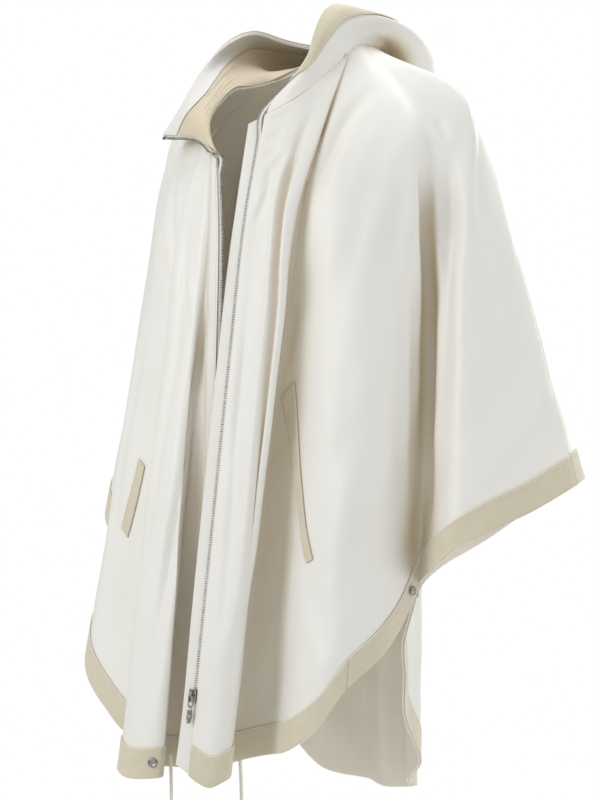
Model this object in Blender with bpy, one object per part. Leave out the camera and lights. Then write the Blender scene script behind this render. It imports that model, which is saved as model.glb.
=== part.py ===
# Hooded cape, worn open. Metres, +Z up. The front faces -Y, the garment's own left is +X,
# and the origin lies in the middle of the neck opening, where the cape is held up.
import math
from collections import namedtuple

import bpy
import numpy as np
from mathutils import Matrix, Vector

CLOTH = 0.0016
LEATHER = 0.0012
LINING = 0.0010
SEAM_GAP = 0.0003
SEAM_JOIN = 0.0006              # where a seam runs slantwise over a curve
LAYER_GAP = 0.0005              # between the layers of the hood, which is the most curved piece

# Neck seam and shoulder line, as two rings
NECK_HALF_WIDTH, RIGHT_NECK_WIDTH, NECK_FRONT, NECK_BACK = 0.092, 0.076, 0.090, 0.085
NECK_SIDE_Z, NECK_FRONT_DROP = 0.050, 0.080
RIGHT_FRONT_DROP, RIGHT_SIDE_DROP = 0.045, 0.035      # the right half has slid down a little
SHOULDER_HALF_WIDTH, RIGHT_HALF_WIDTH = 0.210, 0.188
SHOULDER_Y, CHEST_DEPTH, BACK_DEPTH = 0.035, 0.160, 0.090
SHOULDER_Z, CHEST_DROP, BACK_DROP = 0.000, 0.140, 0.080
SHOULDER_ROUND = 0.045          # half length of the bend over the shoulder
YOKE_SHARE = 0.4                # part of v that runs from the neck seam to the shoulder line

COLUMN_SPACING, COLUMNS_PER_FOLD = 0.018, 3
SIDE_SEAM_FOLD = 15             # fold line of each half where front and back are joined
# Rows of every panel as shares of the way down to the hem band, close at the shoulder's bend
ROWS = [0, 0.10, 0.20, 0.28, 0.34, 0.40, 0.46, 0.55, 0.70, 0.85, 1.0]
TRIM_WIDTH = 0.030
FLAP_WIDTH, FLAP_CURL, FLAP_ROOT = 0.020, 0.3, 0.008      # the root is sewn behind the front
PLACKET_WIDTH, PLACKET_INSET = 0.014, 0.0005
ZIP_WIDTH, ZIP_THICK, ZIP_GAP, ZIP_BOTTOM_Z = 0.0034, 0.0018, 0.0012, -0.596
NECK_TURN_ROOM, NECK_TURN_REACH = 0.0026, 0.018     # the tape turns wider at the neck seam
ZIP_TOP_CLEAR = 0.007           # left free at the collar's corner for the stop
BAND_RISE = 0.0008

# One row for each fold line of a half, from its front edge round to the middle of the back:
# its place on the neck seam and on the shoulder line (0 in front, 90 at the side, 180 behind),
# where it meets the hem, and how far it already stands out at the shoulder.
Fold = namedtuple("Fold", "name neck turn x y z lift")
LEFT_FOLDS = [
    Fold("front_edge", 22, 17, 0.037, -0.198, -0.680, 0.000),
    Fold("front_strip", 45, 24, 0.058, -0.193, -0.690, 0.000),
    Fold("strip_ridge", 76, 30, 0.066, -0.171, -0.682, 0.010),
    Fold("strip_tuck", 79, 33, 0.030, -0.130, -0.678, -0.010),
    Fold("panel_start", 81, 35.5, 0.064, -0.114, -0.668, -0.006),
    Fold("panel_swell", 83, 41, 0.112, -0.136, -0.655, 0.000),
    Fold("panel_ridge", 85, 47, 0.149, -0.137, -0.630, 0.004),
    Fold("panel_turn", 87, 53, 0.170, -0.116, -0.592, 0.004),
    Fold("panel_side", 89, 59, 0.180, -0.080, -0.566, 0.002),
    Fold("panel_end", 91, 65, 0.178, -0.043, -0.540, -0.002),
    Fold("arm_valley", 93, 72, 0.177, -0.008, -0.497, -0.012),
    Fold("sleeve_front", 96, 79, 0.205, -0.024, -0.480, -0.004),
    Fold("sleeve_ridge", 99, 86, 0.240, -0.042, -0.460, 0.004),
    Fold("sleeve_face", 102, 93, 0.268, -0.022, -0.440, 0.000),
    Fold("sleeve_side", 105, 100, 0.292, 0.023, -0.420, 0.000),
    Fold("arm_seam", 109, 108, 0.306, 0.080, -0.396, 0.000),
    Fold("sleeve_corner", 116, 116, 0.288, 0.120, -0.392, 0.000),
    Fold("sleeve_back", 124, 124, 0.248, 0.126, -0.410, 0.000),
    Fold("sleeve_inside", 131, 131, 0.205, 0.070, -0.455, -0.004),
    Fold("back_valley", 138, 138, 0.177, 0.003, -0.494, -0.008),
    Fold("back_side", 143, 143, 0.147, 0.010, -0.545, 0.000),
    Fold("back_swell", 149, 149, 0.128, 0.030, -0.600, 0.000),
    Fold("back_turn", 155, 155, 0.104, 0.066, -0.655, 0.002),
    Fold("back_ridge", 161, 161, 0.084, 0.116, -0.705, 0.004),
    Fold("back_dip", 167, 167, 0.058, 0.128, -0.730, -0.004),
    Fold("back_fold", 174, 174, 0.033, 0.176, -0.745, 0.003),
]
BACK_MIDDLE = Fold("back_middle", 180, 180, 0.0, 0.163, -0.748, -0.003)
RIGHT_FOLDS = [
    Fold("front_edge", 17, -7, -0.020, -0.150, -0.687, 0.000),
    Fold("front_recess", 21, -3, 0.014, -0.148, -0.685, 0.000),
    Fold("recess_tuck", 24, 1, 0.034, -0.162, -0.684, -0.003),
    Fold("inner_ridge", 28, 7, 0.004, -0.193, -0.687, 0.002),
    Fold("front_face", 32, 14, 0.036, -0.206, -0.690, 0.002),
    Fold("outer_ridge", 40, 22, 0.066, -0.190, -0.683, 0.006),
    Fold("outer_tuck", 46, 28, 0.062, -0.158, -0.675, -0.006),
    Fold("panel_start", 54, 35, 0.105, -0.152, -0.650, -0.003),
    Fold("panel_ridge", 62, 43, 0.157, -0.143, -0.605, 0.000),
    Fold("panel_turn", 70, 51, 0.181, -0.116, -0.572, 0.000),
    Fold("panel_side", 78, 59, 0.186, -0.076, -0.548, 0.000),
    Fold("panel_end", 86, 66, 0.179, -0.042, -0.526, -0.002),
] + LEFT_FOLDS[10:]
RIGHT_SLEEVE_START, RIGHT_SLEEVE_SHARE = 0.180, 0.75     # the right sleeve stands out less
TRIM_JOINS = {"left": 7, "right": 9}      # fold line of each half where the hem band is joined

# One row for each station of the hood, from the left front corner round to the right one:
# its turn on the neck seam (negative on the right), the place of the opening edge, how high
# the collar stands up before it falls open, and how far the slack hood bags out and drops.
Station = namedtuple("Station", "turn x y z stand bag drop")
HOOD = [
    Station(22, 0.061, -0.045, 0.028, 0.004, 0.000, 0.000),
    Station(50, 0.077, -0.056, 0.044, 0.010, 0.010, 0.000),
    Station(66, 0.077, -0.048, 0.070, 0.010, 0.010, 0.000),
    Station(80, 0.077, -0.026, 0.090, 0.014, 0.012, 0.000),
    Station(94, 0.081, 0.000, 0.087, 0.016, 0.020, 0.002),
    Station(114, 0.078, 0.036, 0.080, 0.012, 0.036, 0.010),
    Station(128, 0.067, 0.062, 0.072, 0.010, 0.054, 0.026),
    Station(145, 0.049, 0.088, 0.064, 0.010, 0.072, 0.060),
    Station(180, 0.000, 0.114, 0.058, 0.012, 0.090, 0.120),
    Station(-145, -0.054, 0.088, 0.065, 0.012, 0.070, 0.058),
    Station(-128, -0.073, 0.060, 0.073, 0.010, 0.050, 0.024),
    Station(-114, -0.085, 0.034, 0.080, 0.010, 0.030, 0.008),
    Station(-88, -0.101, -0.006, 0.055, 0.000, 0.010, 0.000),
    Station(-62, -0.109, -0.035, 0.007, 0.006, 0.006, 0.000),
    Station(-38, -0.115, -0.052, -0.021, 0.010, 0.004, 0.000),
    Station(-17, -0.121, -0.063, -0.038, 0.013, 0.000, 0.000),
]
# Pocket welts: corners as fold line number from the front edge and share of the way down.
Welt = namedtuple("Welt", "name panel top_in top_out bottom_in bottom_out")
WELTS = [
    Welt("welt_left", "front_left", (3.4, 0.631), (4.0, 0.6195), (5.2, 0.8335), (5.43, 0.8335)),
    Welt("welt_right", "front_right", (7.0, 0.73), (7.25, 0.73), (7.3, 0.827), (7.55, 0.827)),
]
WELT_THICK, WELT_COLUMNS, WELT_ROWS = 0.0012, 3, 12

STOP_SIZE = (0.0036, 0.0032, 0.0024)
SNAP_RADIUS, SNAP_THICK, SNAP_INSET, SNAP_RISE, SNAP_SIDES = 0.0050, 0.0022, 0.014, 0.0016, 12
# Snap caps: panel and fold line, counted from the panel's own front edge round to the back
SNAPS = {"snap_left_front": ("front_left", 9.5), "snap_left_back": ("left_back", 19.6),
         "snap_right_front": ("front_right", 11.5), "snap_right_back": ("right_back", 21.6),
         "snap_hem_right": ("front_right", 3.35)}

SLIDER_WIDTH, SLIDER_LENGTH, SLIDER_THICK, SLIDER_RISE = 0.0080, 0.0130, 0.0040, 0.0004
BRIDGE_WIDTH, BRIDGE_HEIGHT, BRIDGE_WALL = 0.0024, 0.0031, 0.0009
BRIDGE_UP, BRIDGE_DOWN, BRIDGE_CORNER, BRIDGE_FOOT = -0.0055, 0.0010, 0.0010, 0.0006
BRIDGE_SHOULDER = 0.7           # height of the arch's corners as a share of its own
SLIDER_EDGE, BLOCK_EDGE = 0.0009, 0.0004
PULL_WIRE, PULL_AXIS_HEIGHT, PULL_AXIS_UP = 0.0006, 0.0011, 0.0025
LINK_LENGTH, LINK_HALF_WIDTH = 0.0140, 0.0024
RING_RADIUS, RING_WIRE, RING_DROP = 0.0030, 0.0005, 0.0015
TAB_WIDTH, TAB_LENGTH, TAB_THICK, TAB_HOLE, TAB_HEAD = 0.0052, 0.0135, 0.0016, 0.0011, 0.0021
LINK_STEPS, RING_STEPS, TAB_STEPS = 16, 14, 16
LINK_SQUARE, TAB_SQUARE = (1.3, 1.1), (1.25, 1.1)     # how far the oval's sides are flattened

CORD_RADIUS, CORD_STEPS = 0.0017, 12
Cord = namedtuple("Cord", "name x y top_z length sway")
CORDS = [
    Cord("drawcord_left", 0.061, -0.149, -0.668, 0.095, 0.004),
    Cord("drawcord_right", -0.014, -0.170, -0.668, 0.085, 0.003),
]
KNOT_RADIUS, KNOT_SIDES, KNOT_RINGS = 0.0038, 10, 6
HOOD_COLUMNS, HOOD_ROWS, HOOD_SMOOTHING = 37, 13, 2
HOOD_CLEARANCE = 0.0022         # from the neck seam to the hood's lower edge
# The hood's profile from the neck seam to the opening edge: share of the way to the edge,
# of the bag's width, of its drop and of the stand.
Bend = namedtuple("Bend", "edge bag drop stand")
PROFILE = [
    Bend(0.00, 0.00, 0.00, 0.00),
    Bend(0.06, 0.12, -0.03, 0.45),
    Bend(0.34, 0.62, 1.00, 1.00),
    Bend(0.60, 1.00, 0.50, 0.70),
    Bend(0.83, 0.60, 0.06, 0.30),
    Bend(1.00, 0.00, 0.00, 0.00),
]


def unit(vectors):
    return vectors / np.linalg.norm(vectors, axis=-1, keepdims=True)


def knots_of(points):
    # Spacing by the root of each chord keeps the curve from looping at close points.
    steps = np.sqrt(np.linalg.norm(np.diff(points, axis=0), axis=1))
    return np.concatenate([[0.0], np.cumsum(steps)])


def spline_weights(knots, at):
    # Weights of the control points for a smooth curve through all of them.
    count = len(knots)
    tangents = np.zeros((count, count))
    for i in range(count):
        before, after = max(i - 1, 0), min(i + 1, count - 1)
        if before == i or after == i:
            tangents[i, after] += 1.0 / (knots[after] - knots[before])
            tangents[i, before] -= 1.0 / (knots[after] - knots[before])
            continue
        step_in, step_out = knots[i] - knots[i - 1], knots[i + 1] - knots[i]
        share = step_out / (step_in + step_out)
        tangents[i, i] += share / step_in - (1 - share) / step_out
        tangents[i, i - 1] -= share / step_in
        tangents[i, i + 1] += (1 - share) / step_out
    weights = np.zeros((len(at), count))
    for row, value in enumerate(at):
        i = int(np.clip(np.searchsorted(knots, value, side="right") - 1, 0, count - 2))
        step = knots[i + 1] - knots[i]
        t = (value - knots[i]) / step
        weights[row, i] += 2 * t ** 3 - 3 * t ** 2 + 1
        weights[row, i + 1] += 3 * t ** 2 - 2 * t ** 3
        weights[row] += step * (t ** 3 - 2 * t ** 2 + t) * tangents[i]
        weights[row] += step * (t ** 3 - t ** 2) * tangents[i + 1]
    return weights


def ring_shape(turn, width_power, depth_power):
    angle = math.radians(abs(turn))
    across = math.sin(angle) ** width_power * (1 if turn >= 0 else -1)
    ahead = abs(math.cos(angle)) ** depth_power
    return across, ahead, math.cos(angle) > 0


def neck_point(turn):
    across, ahead, in_front = ring_shape(turn, 0.9, 0.9)
    x = (NECK_HALF_WIDTH if turn >= 0 else RIGHT_NECK_WIDTH) * across
    z = NECK_SIDE_Z
    if turn < 0:
        z -= RIGHT_SIDE_DROP * across ** 2
    if not in_front:
        return np.array([x, NECK_BACK * ahead, z])
    z -= NECK_FRONT_DROP * ahead ** 1.15
    if turn < 0:
        z -= RIGHT_FRONT_DROP * ahead ** 6
    return np.array([x, -NECK_FRONT * ahead, z])


def shoulder_point(turn):
    width = SHOULDER_HALF_WIDTH if turn >= 0 else RIGHT_HALF_WIDTH
    across, ahead, in_front = ring_shape(turn, 1.35, 1.35)
    if in_front:
        return np.array([width * across, SHOULDER_Y - CHEST_DEPTH * ahead,
                         SHOULDER_Z - CHEST_DROP * ahead])
    across, ahead, in_front = ring_shape(turn, 0.85, 0.85)
    return np.array([width * across, SHOULDER_Y + BACK_DEPTH * ahead,
                     SHOULDER_Z - BACK_DROP * ahead])


def all_folds():
    right = []
    for fold in reversed(RIGHT_FOLDS):
        beyond = max(fold.x - RIGHT_SLEEVE_START, 0.0)
        x = -(fold.x - beyond * (1 - RIGHT_SLEEVE_SHARE))
        right.append(fold._replace(neck=-fold.neck, turn=-fold.turn, x=x))
    return LEFT_FOLDS + [BACK_MIDDLE] + right


class CapeSurface:
    # The cape's outer face: fold lines run from the neck seam over the shoulder to the hem,
    # and a smooth curve through them gives each level.
    def __init__(self):
        folds = all_folds()
        self.neck = np.array([neck_point(fold.neck) for fold in folds])
        self.shoulder = np.array([shoulder_point(fold.turn) for fold in folds])
        self.shoulder += unit(self.shoulder * (1, 1, 0)) * np.array([[fold.lift] for fold in folds])
        self.hem = np.array([(fold.x, fold.y, fold.z) for fold in folds])
        self.knots = knots_of(self.hem)
        self.fall = np.linalg.norm(self.hem - self.shoulder, axis=1)
        self.yoke = np.linalg.norm(self.shoulder - self.neck, axis=1)

    def columns(self, spacing, most):
        # Column places, closer where the hem is folded more tightly.
        places, marks = [], []
        for i in range(len(self.knots) - 1):
            chord = np.linalg.norm(self.hem[i + 1] - self.hem[i])
            count = int(np.clip(round(chord / spacing), 2, most))
            marks.append(len(places))
            places.extend(np.linspace(self.knots[i], self.knots[i + 1], count, endpoint=False))
        marks.append(len(places))
        places.append(self.knots[-1])
        return np.array(places), marks

    def fold_lines(self, v):
        # Points of every fold line at share v of its length, bent round the shoulder.
        v = np.asarray(v)[:, None]
        past = np.where(v < YOKE_SHARE, (v / YOKE_SHARE - 1) * self.yoke,
                        (v - YOKE_SHARE) / (1 - YOKE_SHARE) * self.fall)
        bend = np.where(np.abs(past) < SHOULDER_ROUND,
                        (past + SHOULDER_ROUND) ** 2 / (4 * SHOULDER_ROUND), np.maximum(past, 0))
        along_yoke = (past + self.yoke - bend) / self.yoke
        along_fall = bend / self.fall
        return (self.neck[None] + along_yoke[..., None] * (self.shoulder - self.neck)[None]
                + along_fall[..., None] * (self.hem - self.shoulder)[None])

    def grid(self, places, rows, trim_rows):
        weights = spline_weights(self.knots, places)
        fall = weights @ self.fall
        points = np.zeros((len(places), len(rows) + len(trim_rows), 3))
        for i, place in enumerate(places):
            trim_share = (1 - YOKE_SHARE) * TRIM_WIDTH / fall[i]
            top = 1 - trim_share
            v = np.concatenate([np.asarray(rows) * top, top + np.asarray(trim_rows) * trim_share])
            points[i] = np.einsum("f,vfc->vc", weights[i], self.fold_lines(v))
        return points

    def neck_turns(self, places):
        # Turns round the neck seam, counted on past 180 behind.
        turns = np.array([fold.neck % 360 for fold in all_folds()], float)
        return spline_weights(self.knots, places) @ turns


def grid_normals(points):
    # Outward normals: columns run round from the left front edge, rows run down.
    across = np.gradient(points, axis=0)
    down = np.gradient(points, axis=1)
    return unit(np.cross(down, across))


def shift_edge(points, column_ends=(0, 0), row_ends=(0, 0)):
    # Draws the grid's edges back from its neighbours at the seams.
    moved = points.copy()
    for column, neighbour, gap in ((0, 1, column_ends[0]), (-1, -2, column_ends[1])):
        moved[column] += gap * unit(points[neighbour] - points[column])
    for row, neighbour, gap in ((0, 1, row_ends[0]), (-1, -2, row_ends[1])):
        moved[:, row] += gap * unit(points[:, neighbour] - points[:, row])
    return moved


def material(name, colour, roughness, metallic=0.0):
    surface = bpy.data.materials.get(name)
    if surface:
        return surface
    surface = bpy.data.materials.new(name)
    surface.use_nodes = True
    shader = surface.node_tree.nodes["Principled BSDF"]
    shader.inputs["Base Color"].default_value = (*colour, 1.0)
    shader.inputs["Roughness"].default_value = roughness
    shader.inputs["Metallic"].default_value = metallic
    return surface


FINISHES = {
    "cloth": ((0.86, 0.84, 0.79), 0.45, 0.0),
    "leather": ((0.74, 0.68, 0.52), 0.70, 0.0),
    "lining": ((0.74, 0.64, 0.47), 0.60, 0.0),
    "metal": ((0.45, 0.44, 0.42), 0.30, 1.0),
}


def add_solid(name, vertices, faces, finish):
    mesh = bpy.data.meshes.new(name)
    mesh.from_pydata([tuple(map(float, vertex)) for vertex in vertices], [], faces)
    mesh.materials.append(material(finish + "_" + name, *FINISHES[finish]))
    mesh.shade_smooth()
    mesh.set_sharp_from_angle(angle=math.radians(40))
    solid = bpy.data.objects.new(name, mesh)
    bpy.context.collection.objects.link(solid)
    return solid


def add_wall(name, outer, inner, finish):
    # A closed wall between two grids of points, split into triangles the same way on each side.
    columns, rows = outer.shape[:2]
    vertices = np.concatenate([outer.reshape(-1, 3), inner.reshape(-1, 3)])
    back = columns * rows
    faces = []
    for i in range(columns - 1):
        for j in range(rows - 1):
            a, b = i * rows + j, (i + 1) * rows + j
            faces += [(a, a + 1, b), (b, a + 1, b + 1)]
            faces += [(back + a, back + b, back + a + 1), (back + b, back + b + 1, back + a + 1)]
    rim = [i * rows for i in range(columns)]
    rim += [(columns - 1) * rows + j for j in range(1, rows)]
    rim += [i * rows + rows - 1 for i in range(columns - 2, -1, -1)]
    rim += [j for j in range(rows - 2, 0, -1)]
    for here, after in zip(rim, rim[1:] + rim[:1]):
        faces += [(here, after, back + after), (here, back + after, back + here)]
    return add_solid(name, vertices, faces, finish)


def add_strip(name, points, normals, low, high, finish):
    # A strip that lies on a panel, made from the panel's points moved along its normals.
    return add_wall(name, points + normals * high, points + normals * low, finish)


def add_tube(name, centres, radius, finish):
    curve = bpy.data.curves.new(name, "CURVE")
    curve.dimensions = "3D"
    curve.bevel_depth = radius
    curve.bevel_resolution = 2
    curve.use_fill_caps = True
    spline = curve.splines.new("POLY")
    spline.points.add(len(centres) - 1)
    for point, centre in zip(spline.points, centres):
        point.co = (*map(float, centre), 1.0)
    curve.materials.append(material(finish + "_" + name, *FINISHES[finish]))
    tube = bpy.data.objects.new(name, curve)
    bpy.context.collection.objects.link(tube)
    return tube


def along_row(points, normals, distances):
    # Points at given distances from the first column, for each row of a panel.
    laid = np.zeros((len(distances), points.shape[1], 3))
    laid_normals = np.zeros_like(laid)
    for j in range(points.shape[1]):
        walked = np.concatenate([[0], np.cumsum(np.linalg.norm(np.diff(points[:, j], axis=0), axis=1))])
        for axis in range(3):
            laid[:, j, axis] = np.interp(distances, walked, points[:, j, axis])
            laid_normals[:, j, axis] = np.interp(distances, walked, normals[:, j, axis])
    return laid, unit(laid_normals)


def on_panel(points, normals, i, j):
    # A point of a panel at fractional column i and row j, with its normal.
    i0, j0 = int(min(i, points.shape[0] - 2)), int(min(j, points.shape[1] - 2))
    a, b = i - i0, j - j0
    corners = ((0, 0, (1 - a) * (1 - b)), (1, 0, a * (1 - b)), (0, 1, (1 - a) * b), (1, 1, a * b))
    point = sum(points[i0 + di, j0 + dj] * share for di, dj, share in corners)
    normal = sum(normals[i0 + di, j0 + dj] * share for di, dj, share in corners)
    return point, unit(normal)


def build_panels():
    cape = CapeSurface()
    places, marks = cape.columns(COLUMN_SPACING, COLUMNS_PER_FOLD)
    points = cape.grid(places, ROWS, [1.0])
    normals = grid_normals(points)
    extra_folds = len(RIGHT_FOLDS) - len(LEFT_FOLDS)
    left_seam = marks[SIDE_SEAM_FOLD]
    right_seam = marks[len(marks) - 1 - SIDE_SEAM_FOLD - extra_folds]
    half = SEAM_GAP / 2
    panels = {}
    for name, start, stop, ends in (("front_left", 0, left_seam, (0, half)),
                                    ("back", left_seam, right_seam, (half, half)),
                                    ("front_right", right_seam, len(places) - 1, (half, 0))):
        part = shift_edge(points[start:stop + 1], ends, (half, 0))
        lean = normals[start:stop + 1]
        panels[name] = (part, lean, start)
        add_wall(name, part, part - lean * CLOTH, "cloth")
    seam = (cape.neck_turns(places), points[:, 0])
    return panels, marks, seam


def build_hem_trims(panels, marks):
    count = len(marks) - 1
    left_join = marks[TRIM_JOINS["left"]]
    right_join = marks[count - TRIM_JOINS["right"]]
    for name, panel, start, stop in (
            ("hem_trim_left", "front_left", 0, left_join),
            ("hem_trim_left_arm", "front_left", left_join, None),
            ("hem_trim_back", "back", None, None),
            ("hem_trim_right_arm", "front_right", None, right_join),
            ("hem_trim_right", "front_right", right_join, None)):
        points, normals, first = panels[panel]
        low = 0 if start is None else start - first
        high = points.shape[0] - 1 if stop is None else stop - first
        band, lean = points[low:high + 1, -2:], normals[low:high + 1, -2:]
        ends = (SEAM_GAP / 2 if start else 0, SEAM_GAP / 2 if stop else 0)
        band = shift_edge(band, ends)
        add_strip(name, band, lean, SEAM_GAP, SEAM_GAP + LEATHER, "leather")


def hood_grid(columns, rows, seam):
    behind = [station.turn for station in HOOD].index(180)
    half = columns // 2
    turns_spread = np.concatenate([np.linspace(0, behind, half, endpoint=False),
                                   np.linspace(behind, len(HOOD) - 1, columns - half)])
    station_knots = np.arange(len(HOOD), dtype=float)
    weights = spline_weights(station_knots, turns_spread)
    turns = weights @ np.array([station.turn % 360 for station in HOOD], float)
    base = np.stack([np.interp(turns, seam[0], seam[1][:, axis]) for axis in range(3)], axis=1)
    edges = np.array([(station.x, station.y, station.z) for station in HOOD])
    bags = np.array([(station.bag, station.drop, station.stand) for station in HOOD])
    outs = np.array([(math.sin(math.radians(station.turn)) * 0.9, -math.cos(math.radians(station.turn)), 0)
                     for station in HOOD])
    path = np.array([(bend.edge, bend.bag, bend.drop, bend.stand) for bend in PROFILE])
    edge, bag, out = weights @ edges, weights @ bags, unit(weights @ outs)
    grid = np.zeros((columns, rows, 3))
    for i in range(columns):
        bends = base[i] + path[:, :1] * (edge[i] - base[i]) + path[:, 1:2] * bag[i, 0] * out[i]
        bends[:, 2] += path[:, 3] * bag[i, 2] - path[:, 2] * bag[i, 1]
        knots = knots_of(bends)
        line = spline_weights(knots, np.linspace(0, knots[-1], 81)) @ bends
        walked = np.concatenate([[0], np.cumsum(np.linalg.norm(np.diff(line, axis=0), axis=1))])
        band_start = walked[-1] - TRIM_WIDTH
        stops = np.concatenate([np.linspace(HOOD_CLEARANCE, band_start, rows - 2),
                                [band_start + TRIM_WIDTH / 2, walked[-1]]])
        for axis in range(3):
            grid[i, :, axis] = np.interp(stops, walked, line[:, axis])
    return smoothed(grid, HOOD_SMOOTHING)


def smoothed(grid, repeats):
    # Evens out a grid; its edges move only along themselves and the neck seam stays.
    for repeat in range(repeats):
        inner = (grid[:-2, 1:-1] + grid[2:, 1:-1] + grid[1:-1, :-2] + grid[1:-1, 2:]) / 4
        rim = (grid[:-2, -1] + grid[2:, -1]) / 2
        ends = [(grid[end, :-2] + grid[end, 2:]) / 2 for end in (0, -1)]
        grid[1:-1, 1:-1] = (grid[1:-1, 1:-1] + inner) / 2
        grid[1:-1, -1] = (grid[1:-1, -1] + rim) / 2
        for end, even in zip((0, -1), ends):
            grid[end, 1:-1] = (grid[end, 1:-1] + even) / 2
    return grid


def build_hood(seam):
    points = hood_grid(HOOD_COLUMNS, HOOD_ROWS, seam)
    normals = -grid_normals(points)
    middle = HOOD_COLUMNS // 2
    half = SEAM_GAP / 2
    left = shift_edge(points[:middle + 1], (0, half))
    right = shift_edge(points[middle:], (half, 0))
    add_wall("hood_left", left - normals[:middle + 1] * CLOTH, left, "cloth")
    add_wall("hood_right", right - normals[middle:] * CLOTH, right, "cloth")
    add_hood_layer("hood_trim", points[:, -3:], normals[:, -3:], LAYER_GAP, LEATHER, "leather")
    inside = -(CLOTH + LAYER_GAP + LINING)
    band = shift_edge(points[:, -3:], (0, 0), (SEAM_JOIN, 0))
    add_hood_layer("hood_facing", band, normals[:, -3:], inside, LINING, "cloth")
    bowl = shift_edge(points[:, :-2], (0, 0), (0, SEAM_JOIN))
    add_hood_layer("hood_lining", bowl, normals[:, :-2], inside, LINING, "lining")
    return points, normals


def add_hood_layer(name, points, normals, low, thick, finish):
    add_wall(name, points + normals * low, points + normals * (low + thick), finish)


def front_edge(panel_points, panel_normals, hood_points, hood_normals, last):
    # The whole front edge, from the hem to the hood's corner: points, directions off the cloth.
    edge, inner = (-1, -2) if last else (0, 1)
    cape_side = unit(panel_points[edge] - panel_points[inner])[::-1]
    hood_side = unit(hood_points[edge] - hood_points[inner])[1:]
    points = np.concatenate([panel_points[edge][::-1], hood_points[edge][1:]])
    sides = np.concatenate([cape_side, hood_side])
    normals = np.concatenate([panel_normals[edge][::-1], hood_normals[edge][1:]])
    tangents = unit(np.gradient(points, axis=0))
    normals = unit(normals - tangents * np.sum(normals * tangents, axis=1, keepdims=True))
    square = np.cross(tangents, normals)
    square *= np.sign(np.sum(square * sides, axis=1, keepdims=True))
    return points, square, normals


def cut_path(values, heights, bottom):
    # Values along a path from the given height up.
    start = int(np.argmax(heights > bottom))
    share = (bottom - heights[start - 1]) / (heights[start] - heights[start - 1])
    first = values[start - 1] + share * (values[start] - values[start - 1])
    return np.concatenate([first[None], values[start:]])


def build_zips(panels, hood, hood_normals):
    edges = {}
    for side, panel, last in (("left", "front_left", False), ("right", "front_right", True)):
        points, normals, first = panels[panel]
        path, sides, leans = front_edge(points, normals, hood, hood_normals, last)
        edges[side] = (path, sides, leans)
        heights = path[:, 2]
        path, sides, leans = (cut_path(values, heights, ZIP_BOTTOM_Z) for values in (path, sides, leans))
        walked = np.concatenate([[0], np.cumsum(np.linalg.norm(np.diff(path, axis=0), axis=1))])
        stop = walked[-1] - ZIP_TOP_CLEAR / 2
        centre = np.array([np.interp(stop, walked, path[:, axis]) for axis in range(3)])
        kept = walked < walked[-1] - ZIP_TOP_CLEAR - SEAM_JOIN
        last_point = [np.interp(walked[-1] - ZIP_TOP_CLEAR, walked, path[:, axis]) for axis in range(3)]
        end = np.count_nonzero(kept)
        path = np.concatenate([path[kept], [last_point]])
        sides, leans = sides[:end + 1], leans[:end + 1]
        away = np.linalg.norm(path - points[-1 if last else 0, 0], axis=1)
        room = ZIP_GAP + NECK_TURN_ROOM * np.exp(-(away / NECK_TURN_REACH) ** 2)
        near = path + sides * room[:, None]
        far = near + sides * ZIP_WIDTH
        middle = -CLOTH / 2
        grid = np.stack([near, far] if last else [far, near])[:, ::-1]
        lean = np.stack([leans, leans])[:, ::-1]
        add_strip("zip_" + side, grid, lean, middle - ZIP_THICK / 2, middle + ZIP_THICK / 2, "metal")
        top = centre + sides[-1] * (ZIP_GAP + ZIP_WIDTH / 2) - leans[-1] * CLOTH / 2
        along = unit(path[-1] - path[-2])
        add_block("zip_stop_" + side, top, (sides[-1], along, leans[-1]), STOP_SIZE, "metal")
    return edges


def add_block(name, centre, axes, size, finish, bevel=BLOCK_EDGE):
    across = unit(np.array(axes[0]))
    along = unit(axes[1] - across * np.dot(across, axes[1]))
    out = np.cross(across, along)
    turn = Matrix((across, along, out)).transposed().to_4x4()
    mesh = bpy.data.meshes.new(name)
    corners = [(x, y, z) for x in (-0.5, 0.5) for y in (-0.5, 0.5) for z in (-0.5, 0.5)]
    sides = [(0, 1, 3, 2), (4, 6, 7, 5), (0, 4, 5, 1), (2, 3, 7, 6), (0, 2, 6, 4), (1, 5, 7, 3)]
    mesh.from_pydata([tuple(c * s for c, s in zip(corner, size)) for corner in corners], [], sides)
    mesh.materials.append(material(finish + "_" + name, *FINISHES[finish]))
    block = bpy.data.objects.new(name, mesh)
    bpy.context.collection.objects.link(block)
    block.matrix_world = Matrix.Translation(Vector(centre)) @ turn
    rounding = block.modifiers.new("Bevel", "BEVEL")
    rounding.width = bevel
    rounding.segments = 1
    return block


def build_flap(panels):
    # Wind flap behind the left zip: it reaches past the teeth and curls in at mid height.
    points, normals, first = panels["front_left"]
    root, root_lean = along_row(points, normals, [0.0, FLAP_ROOT])
    off = unit(points[0] - points[1])
    lean = normals[0]
    curl = np.sin(np.linspace(0, math.pi, points.shape[1]))[:, None] * FLAP_CURL
    reach = unit(off - lean * curl)
    rows = [root[0] + reach * FLAP_WIDTH, root[0] + reach * FLAP_WIDTH / 2, root[0], root[1]]
    leans = [unit(lean + off * curl), unit(lean + off * curl), lean, root_lean[1]]
    top = -(CLOTH + 3 * SEAM_GAP)
    add_strip("flap_left", np.stack(rows), np.stack(leans), top - LEATHER, top, "cloth")


def build_placket(panels):
    points, normals, first = panels["front_right"]
    widths = [PLACKET_WIDTH, PLACKET_WIDTH / 2, PLACKET_INSET]
    band, lean = along_row(points[::-1, :-1], normals[::-1, :-1], widths)
    band = shift_edge(band, (0, 0), (SEAM_JOIN, SEAM_JOIN))
    add_strip("placket_right", band, lean, BAND_RISE, BAND_RISE + LINING, "cloth")


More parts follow.
